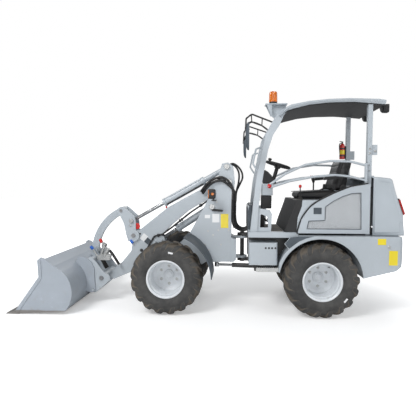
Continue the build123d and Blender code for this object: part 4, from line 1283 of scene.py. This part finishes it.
def pipe(start, end, radius=7):
    return sweep(np.linspace(place(*start), place(*end), 4), roundProfile(radius / 1000, 10))


pipes = both(gather(pipe((-500, -40, 1478), (-880, -40, 1267)), pipe((-500, -22, 1486), (-880, -22, 1275))))
dress("tilt_pipes", pipes, "paint_grey", "tilt_barrel")
print("hoses ready")

# Frame bolts and the caps of the tower's pins
sideBolts = [(-401, 871), (-280, 880), (-160, 880), (-341, 822)]
frameBolts = gather(*[bolt(place(x, -190, z), (0, -1, 0), 8) for x, z in sideBolts])
addPiece("frame_bolts", both(frameBolts), zinc, "front_frame", "pin_steel")
collars = []
for (x, z), r, y in (((-160, 1440), 40, 204), ((-183, 1619), 32, 200), ((-354, 1154), 32, 200)):
    collars.append(
        lathe(
            [(r / 1000, 0), (r / 1000, 0.006), (r / 1000 - 0.004, 0.009), (0.008, 0.009)],
            place(x, -y, z),
            (0, -1, 0),
            28,
        )
    )
    collars.append(bolt(place(x, -y - 9, z), (0, -1, 0), 9))
addPiece("tower_pin_caps", both(gather(*collars)), zinc, "front_frame", "pin_steel")


# Couplings on the quick coupler with their caps and hose, the rocker's clip and two red marks
def tubeRun(a, b, profile, segments=16):
    a, b = place(*a), place(*b)
    length = np.linalg.norm(b - a)
    return lathe([(r / 1000, h * length) for r, h in profile], a, b - a, segments)


blocks = []
for y, ax, az, bx, bz in ((-120, -1706, 570, -1656, 706), (-162, -1668, 530, -1604, 648)):
    a, b = np.array([ax, y, az]), np.array([bx, y, bz])
    blocks.append(
        tubeRun(
            a,
            b,
            [
                (14, 0), (20, 0.02), (20, 0.2), (24, 0.22), (24, 0.46), (20, 0.48), (20, 0.62),
                (31, 0.64), (31, 0.97), (25, 1),
            ],
            20,
        )
    )
blocks.append(plate([(-1740, 505), (-1590, 505), (-1585, 560), (-1640, 585), (-1735, 560)], -176, -98))
addPiece("couplings", gather(*blocks), zinc, "coupler", "pin_steel", smooth=40)
ribs = np.linspace(0, 1, 97)
wave = 25 + 3.8 * np.cos(ribs * 24 * 2 * np.pi)
core = tubeRun((-1706, -136, 540), (-1632, -136, 404), list(zip(wave, ribs)), 16)
dress("coupling_bellows", core, "plastic_black", "coupler", smooth=50)
caps = {
    "blue": ((-1843, -112, 665), (-1812, -112, 625), bluePlastic, "plastic_slate"),
    "red": ((-1711, -150, 761), (-1686, -150, 713), redPlastic, "paint_red"),
}
for name, (top, foot, finish, slot) in caps.items():
    cap = tubeRun(foot, top, [(10, 0), (19, 0.1), (19, 0.7), (15, 0.95), (6, 1)])
    addPiece(f"cap_{name}", cap, finish, "coupler", slot, smooth=50)
    stemPath = np.array(foot, float) + [(0, 0, 0), (28, 0, -46), (62, 0, -92)]
    addPiece(f"coupling_stem_{name}", hose(stemPath, 9, 6), zinc, "coupler", "pin_steel")
couplingHose = hose([(-1612, -150, 640), (-1566, -150, 588), (-1516, -144, 508), (-1484, -138, 450)], 17, 8)
clip = tubeRun((-1350, -94, 742), (-1322, -94, 700), [(9, 0), (17, 0.1), (17, 0.9), (9, 1)])
addPiece("coupling_hose", couplingHose, hoseFinish, "coupler", "plastic_black")
addPiece("rocker_clip", clip, bluePlastic, "rocker", "plastic_slate", smooth=50)
dial = lathe(
    [(0.038, 0), (0.038, 0.005), (0.034, 0.007), (0.004, 0.007)], place(-1272, -78, 910), (0, -1, 0), 36
)
addPiece("tilt_mark", dial, redPlastic, "rocker", "paint_red")
spot = lathe(
    [(0.009, 0), (0.011, 0.01), (0.011, 0.020), (0.006, 0.024)], place(-914, -57, 1128), (0, 0, 1), 20
)
addPiece("boom_mark", spot, redPlastic, "boom", "paint_red", smooth=50)


# Blank plate on a side face: its middle, its length and height, and the direction of its length
def tag(x, z, length, height, y, out, direction=(1, 0), thick=1.4):
    d = np.array(direction, float) / np.hypot(*direction)
    n = np.array([-d[1], d[0]])
    corners = [
        np.array([x, z]) + d * length / 2 * i + n * height / 2 * j
        for i, j in ((-1, -1), (1, -1), (1, 1), (-1, 1))
    ]
    return plate([tuple(c) for c in corners], *sorted((y, y + out * thick)))


tags = {
    "boom_white": (tag(-1191, 771, 82, 66, -70, -1, (0.64, 0.77)), whiteSticker, "boom"),
    "boom_dark": (tag(-1139, 722, 66, 78, -70, -1, (0.64, 0.77)), finishes["plastic_slate"], "boom"),
    "tower_white_a": (tag(-407, 1040, 62, 40, -190, -1), whiteSticker, "front_frame"),
    "tower_white_b": (tag(-309, 1022, 82, 100, -190, -1), whiteSticker, "front_frame"),
    "tower_yellow": (tag(-207, 990, 88, 164, -190, -1), yellowSticker, "front_frame"),
    "tail_yellow_a": (tag(1447, 814, 84, 64, -550, -1), yellowSticker, "rear_frame"),
    "tail_yellow_b": (tag(1567, 644, 88, 154, -550, -1), yellowSticker, "rear_frame"),
}
for name, (form, finish, body) in tags.items():
    addPiece(f"blank_{name}", form, finish, body, "paint_grey")
print("couplings and plates ready")

# Small trim: the tower's bolts, flares and latch, caps and bolts of the arm, treads, pins and ridges
towerBolts = bolts(
    [(-433, -190, 709), (-248, -190, 713), (-390, -190, 648), (-300, -190, 1210)], (0, -1, 0), 8
)
addPiece("tower_bolts", both(towerBolts), zinc, "front_frame", "pin_steel")
flares = both(plate([(-140, 800), (-106, 786), (-70, 776), (-70, 540), (-100, 510), (-140, 506)], -191, -172))
dress("tower_flares", flares, "paint_grey", "front_frame", bevel=0.002)
knob = gather(
    plate(
        [(-352, 1106), (-230, 1098), (-222, 1112), (-240, 1122), (-330, 1132), (-356, 1124)], -222, -200
    ),
    lathe([(0.010, 0), (0.010, 0.03)], place(-300, -190, 1114), (0, -1, 0), 14),
)
dress("tower_latch", knob, "plastic_black", "front_frame", bevel=0.004)
boomBolts = bolts([(-1223, -70, 614)], (0, -1, 0), 15)
boomBolts = gather(
    boomBolts,
    lathe([(0.011, 0), (0.011, 0.0012), (0.003, 0.0012)], place(-1236, -70, 815), (0, -1, 0), 20),
)
dress("boom_bolts", both(boomBolts), "frame_black", "boom")
rockerCaps = []
for x, y, z, radius in ((-1338, -106, 974, 0.026), (-1349, -94, 918, 0.015)):
    profile = [(radius, 0), (radius, 0.005), (radius - 0.004, 0.008), (0.004, 0.008)]
    rockerCaps.append(lathe(profile, place(x, y, z), (0, -1, 0), 24))
addPiece("rocker_caps", both(gather(*rockerCaps)), zinc, "rocker", "pin_steel")
sideHoles = gather(
    *[
        lathe([(0.011, 0), (0.011, 0.0015), (0.002, 0.0015)], place(x, -450, 719), (0, -1, 0), 20)
        for x in (251, 286, 320, 356)
    ]
)
dress("box_holes", both(sideHoles), "frame_black")
lock = lathe(
    [(0.016, 0), (0.016, 0.004), (0.012, 0.007), (0.003, 0.007)], place(1522, -550, 760), (0, -1, 0), 24
)
addPiece("tail_lock", both(lock), zinc, "rear_frame", "pin_steel")
stepLook = {"x": (147, 395), "z": (459, 503), "bars": 11, "end": 14, "barHalf": 7}
tread = [box(*stepLook["x"], -472, -470, *stepLook["z"])]
for x in np.linspace(
    stepLook["x"][0] + stepLook["end"], stepLook["x"][1] - stepLook["end"], stepLook["bars"]
):
    tread.append(box(x - stepLook["barHalf"], x + stepLook["barHalf"], -466, -338, 503, 506))
addPiece("step_treads", both(gather(*tread)), zinc, "rear_frame", "pin_steel")
postBits = []
for x, z, r in ((1342, 1790, 12), (1342, 1745, 12), (1402, 1768, 14), (1342, 1560, 7), (1342, 1620, 7)):
    postBits.append(lathe([(r / 1000, 0), (r / 1000, 0.005), (r / 1000 - 0.003, 0.008), (0.003, 0.008)],
                          place(x, -425 if x < 1400 else -412, z), (0, -1, 0), 20))
addPiece("post_pins", both(gather(*postBits)), zinc, "rear_frame", "pin_steel")
creaseLines = (
    [(1392, 1466), (1440, 1452), (1500, 1440), (1552, 1438)],
    [(1392, 905), (1500, 930), (1600, 975), (1680, 1022)],
)
ridges = both(gather(*[hose([(x, -480, z) for x, z in line], 3.5, 6) for line in creaseLines]))
dress("hood_ridges", ridges, "paint_grey", "hood")
underHoses = gather(
    *[
        sweep(np.linspace(place(-470, y, 1422), place(-915, y, 1175), 6), roundProfile(0.012, 10))
        for y in (-30, 0, 30)
    ]
)
addPiece("tilt_hoses", underHoses, hoseFinish, "tilt_barrel", "plastic_black")
# Dark wall behind the engine, with black strips at its sides that paint the shade in the gap between cab and
# hood, and a dark slate plate over the front of each rear arch that paints the shade under the sill
wallAndGapShade = gather(box(1322, 1364, -372, 372, 872, 1390), both(box(1353, 1364, 372, 456, 885, 1390)))
dress("rear_wall_gap_shade", wallAndGapShade, "frame_black")
# Painted shade: a dark plate where the front of each rear arch lies in shade under the sill
archShadePlate = plate(
    [(446, 784), (503, 851), (592, 865), (746, 865), (666, 843), (591, 808), (493, 733), (470, 752)],
    -553,
    -550,
)
dress("arch_painted_shade", both(archShadePlate), "plastic_slate", bevel=0.001)
print("trim ready")


# Hoses across the centre pivot, baked in place and left on no body
pivotHoses = {
    "a": (
        15,
        [
            (-112, -150, 1080), (-104, -142, 1000), (-88, -128, 930), (-52, -110, 890), (0, -92, 872),
            (44, -88, 880), (74, -90, 905),
        ],
    ),
    "b": (
        15,
        [
            (-86, -120, 1070), (-80, -112, 990), (-62, -96, 925), (-30, -78, 895), (10, -62, 885),
            (48, -56, 895), (74, -58, 922),
        ],
    ),
    "c": (
        13,
        [(-90, 90, 1080), (-82, 88, 990), (-60, 80, 925), (-20, 70, 890), (30, 62, 885), (74, 60, 910)],
    ),
}
for name, (radius, route) in pivotHoses.items():
    crossing = addPiece(f"pivot_hose_{name}", hose(route, radius), hoseFinish, "rear_frame", "plastic_black")
    crossing.parent = None
    tuple(place(-95, 0, 900))
    tuple(place(58, 0, 900))
    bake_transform(crossing)

# Camera, light and floor
viewLook = {"lens": 33.48, "sensor": 36, "place": (0.3635, -4.6816, 1.4085), "tilt": 86.59, "turn": 4.12}
camera = bpy.data.cameras.new("camera")
camera.lens = viewLook["lens"]
camera.sensor_width = viewLook["sensor"]
cameraPiece = bpy.data.objects.new("camera", camera)
cameraPiece.location = viewLook["place"]
cameraPiece.rotation_euler = (math.radians(viewLook["tilt"]), 0, math.radians(viewLook["turn"]))
bpy.context.scene.collection.objects.link(cameraPiece)
bpy.context.scene.camera = cameraPiece


def areaLamp(name, at, towards, size, power):
    lamp = bpy.data.lights.new(name, "AREA")
    lamp.size = size
    lamp.energy = power
    piece = bpy.data.objects.new(name, lamp)
    piece.location = at
    direction = np.array(towards, float) - np.array(at, float)
    yaw = math.atan2(direction[0], -direction[1])
    piece.rotation_euler = (math.atan2(np.hypot(direction[0], direction[1]), -direction[2]), 0, yaw + math.pi)
    bpy.context.scene.collection.objects.link(piece)


# Place, target, size and power of each soft lamp
studioLamps = {
    "keyLamp": ((-3.6, -5.5, 6.5), (0, 0, 0.8), 3.0, 420),
    "fillLamp": ((5.5, -3.5, 3.5), (0, 0, 1), 4.0, 90),
    "frontLamp": ((0.4, -7.5, 1.6), (0, 0, 0.9), 3.0, 75),
    "backLamp": ((1.0, 6.0, 5.0), (0, 0, 1), 4.0, 120),
}
for name, (at, towards, size, power) in studioLamps.items():
    areaLamp(name, at, towards, size, power)

world = bpy.data.worlds.new("studio")
bpy.context.scene.world = world
world.use_nodes = True
nodes, links = world.node_tree.nodes, world.node_tree.links
nodes.clear()
rays = nodes.new("ShaderNodeLightPath")
shown = nodes.new("ShaderNodeBackground")
shown.inputs[0].default_value = (1, 1, 1, 1)
lit = nodes.new("ShaderNodeBackground")
lit.inputs[0].default_value = (0.95, 0.975, 1, 1)
lit.inputs[1].default_value = 0.38
choose = nodes.new("ShaderNodeMixShader")
result = nodes.new("ShaderNodeOutputWorld")
links.new(rays.outputs["Is Camera Ray"], choose.inputs[0])
links.new(lit.outputs[0], choose.inputs[1])
links.new(shown.outputs[0], choose.inputs[2])
links.new(choose.outputs[0], result.inputs[0])

# The floor keeps the machine's shadow and fades into the white backdrop away from it
floorFinish = Finish("floorFinish", Specular_IOR_Level=0.1)
cameraRay = floorFinish.add("LightPath")
acrossX, acrossY = floorFinish.parts(floorFinish.where)[:2]
away = (acrossX * acrossX + acrossY * acrossY * 1.4).math("SQRT").step(1.9, 3.6)
backdropGlow = floorFinish.mix(away, (0.30, 0.30, 0.30), (1, 1, 1))
glow = floorFinish.mix(cameraRay, (0, 0, 0), backdropGlow)
floorFinish.surface.inputs["Emission Strength"].default_value = 1.0
floorShade = floorFinish.done(Base_Color=(0.86, 0.86, 0.86), Roughness=0.9, Emission_Color=glow)
floorMesh = bpy.data.meshes.new("studioFloor")
floorMesh.from_pydata([(-30, -30, 0), (30, -30, 0), (30, 30, 0), (-30, 30, 0)], [], [(0, 1, 2, 3)])
floorMesh.materials.append(floorShade)
studioFloor = bpy.data.objects.new("studioFloor", floorMesh)
bpy.context.scene.collection.objects.link(studioFloor)

bpy.context.scene.view_settings.view_transform = "Standard"
print("all pieces in place")
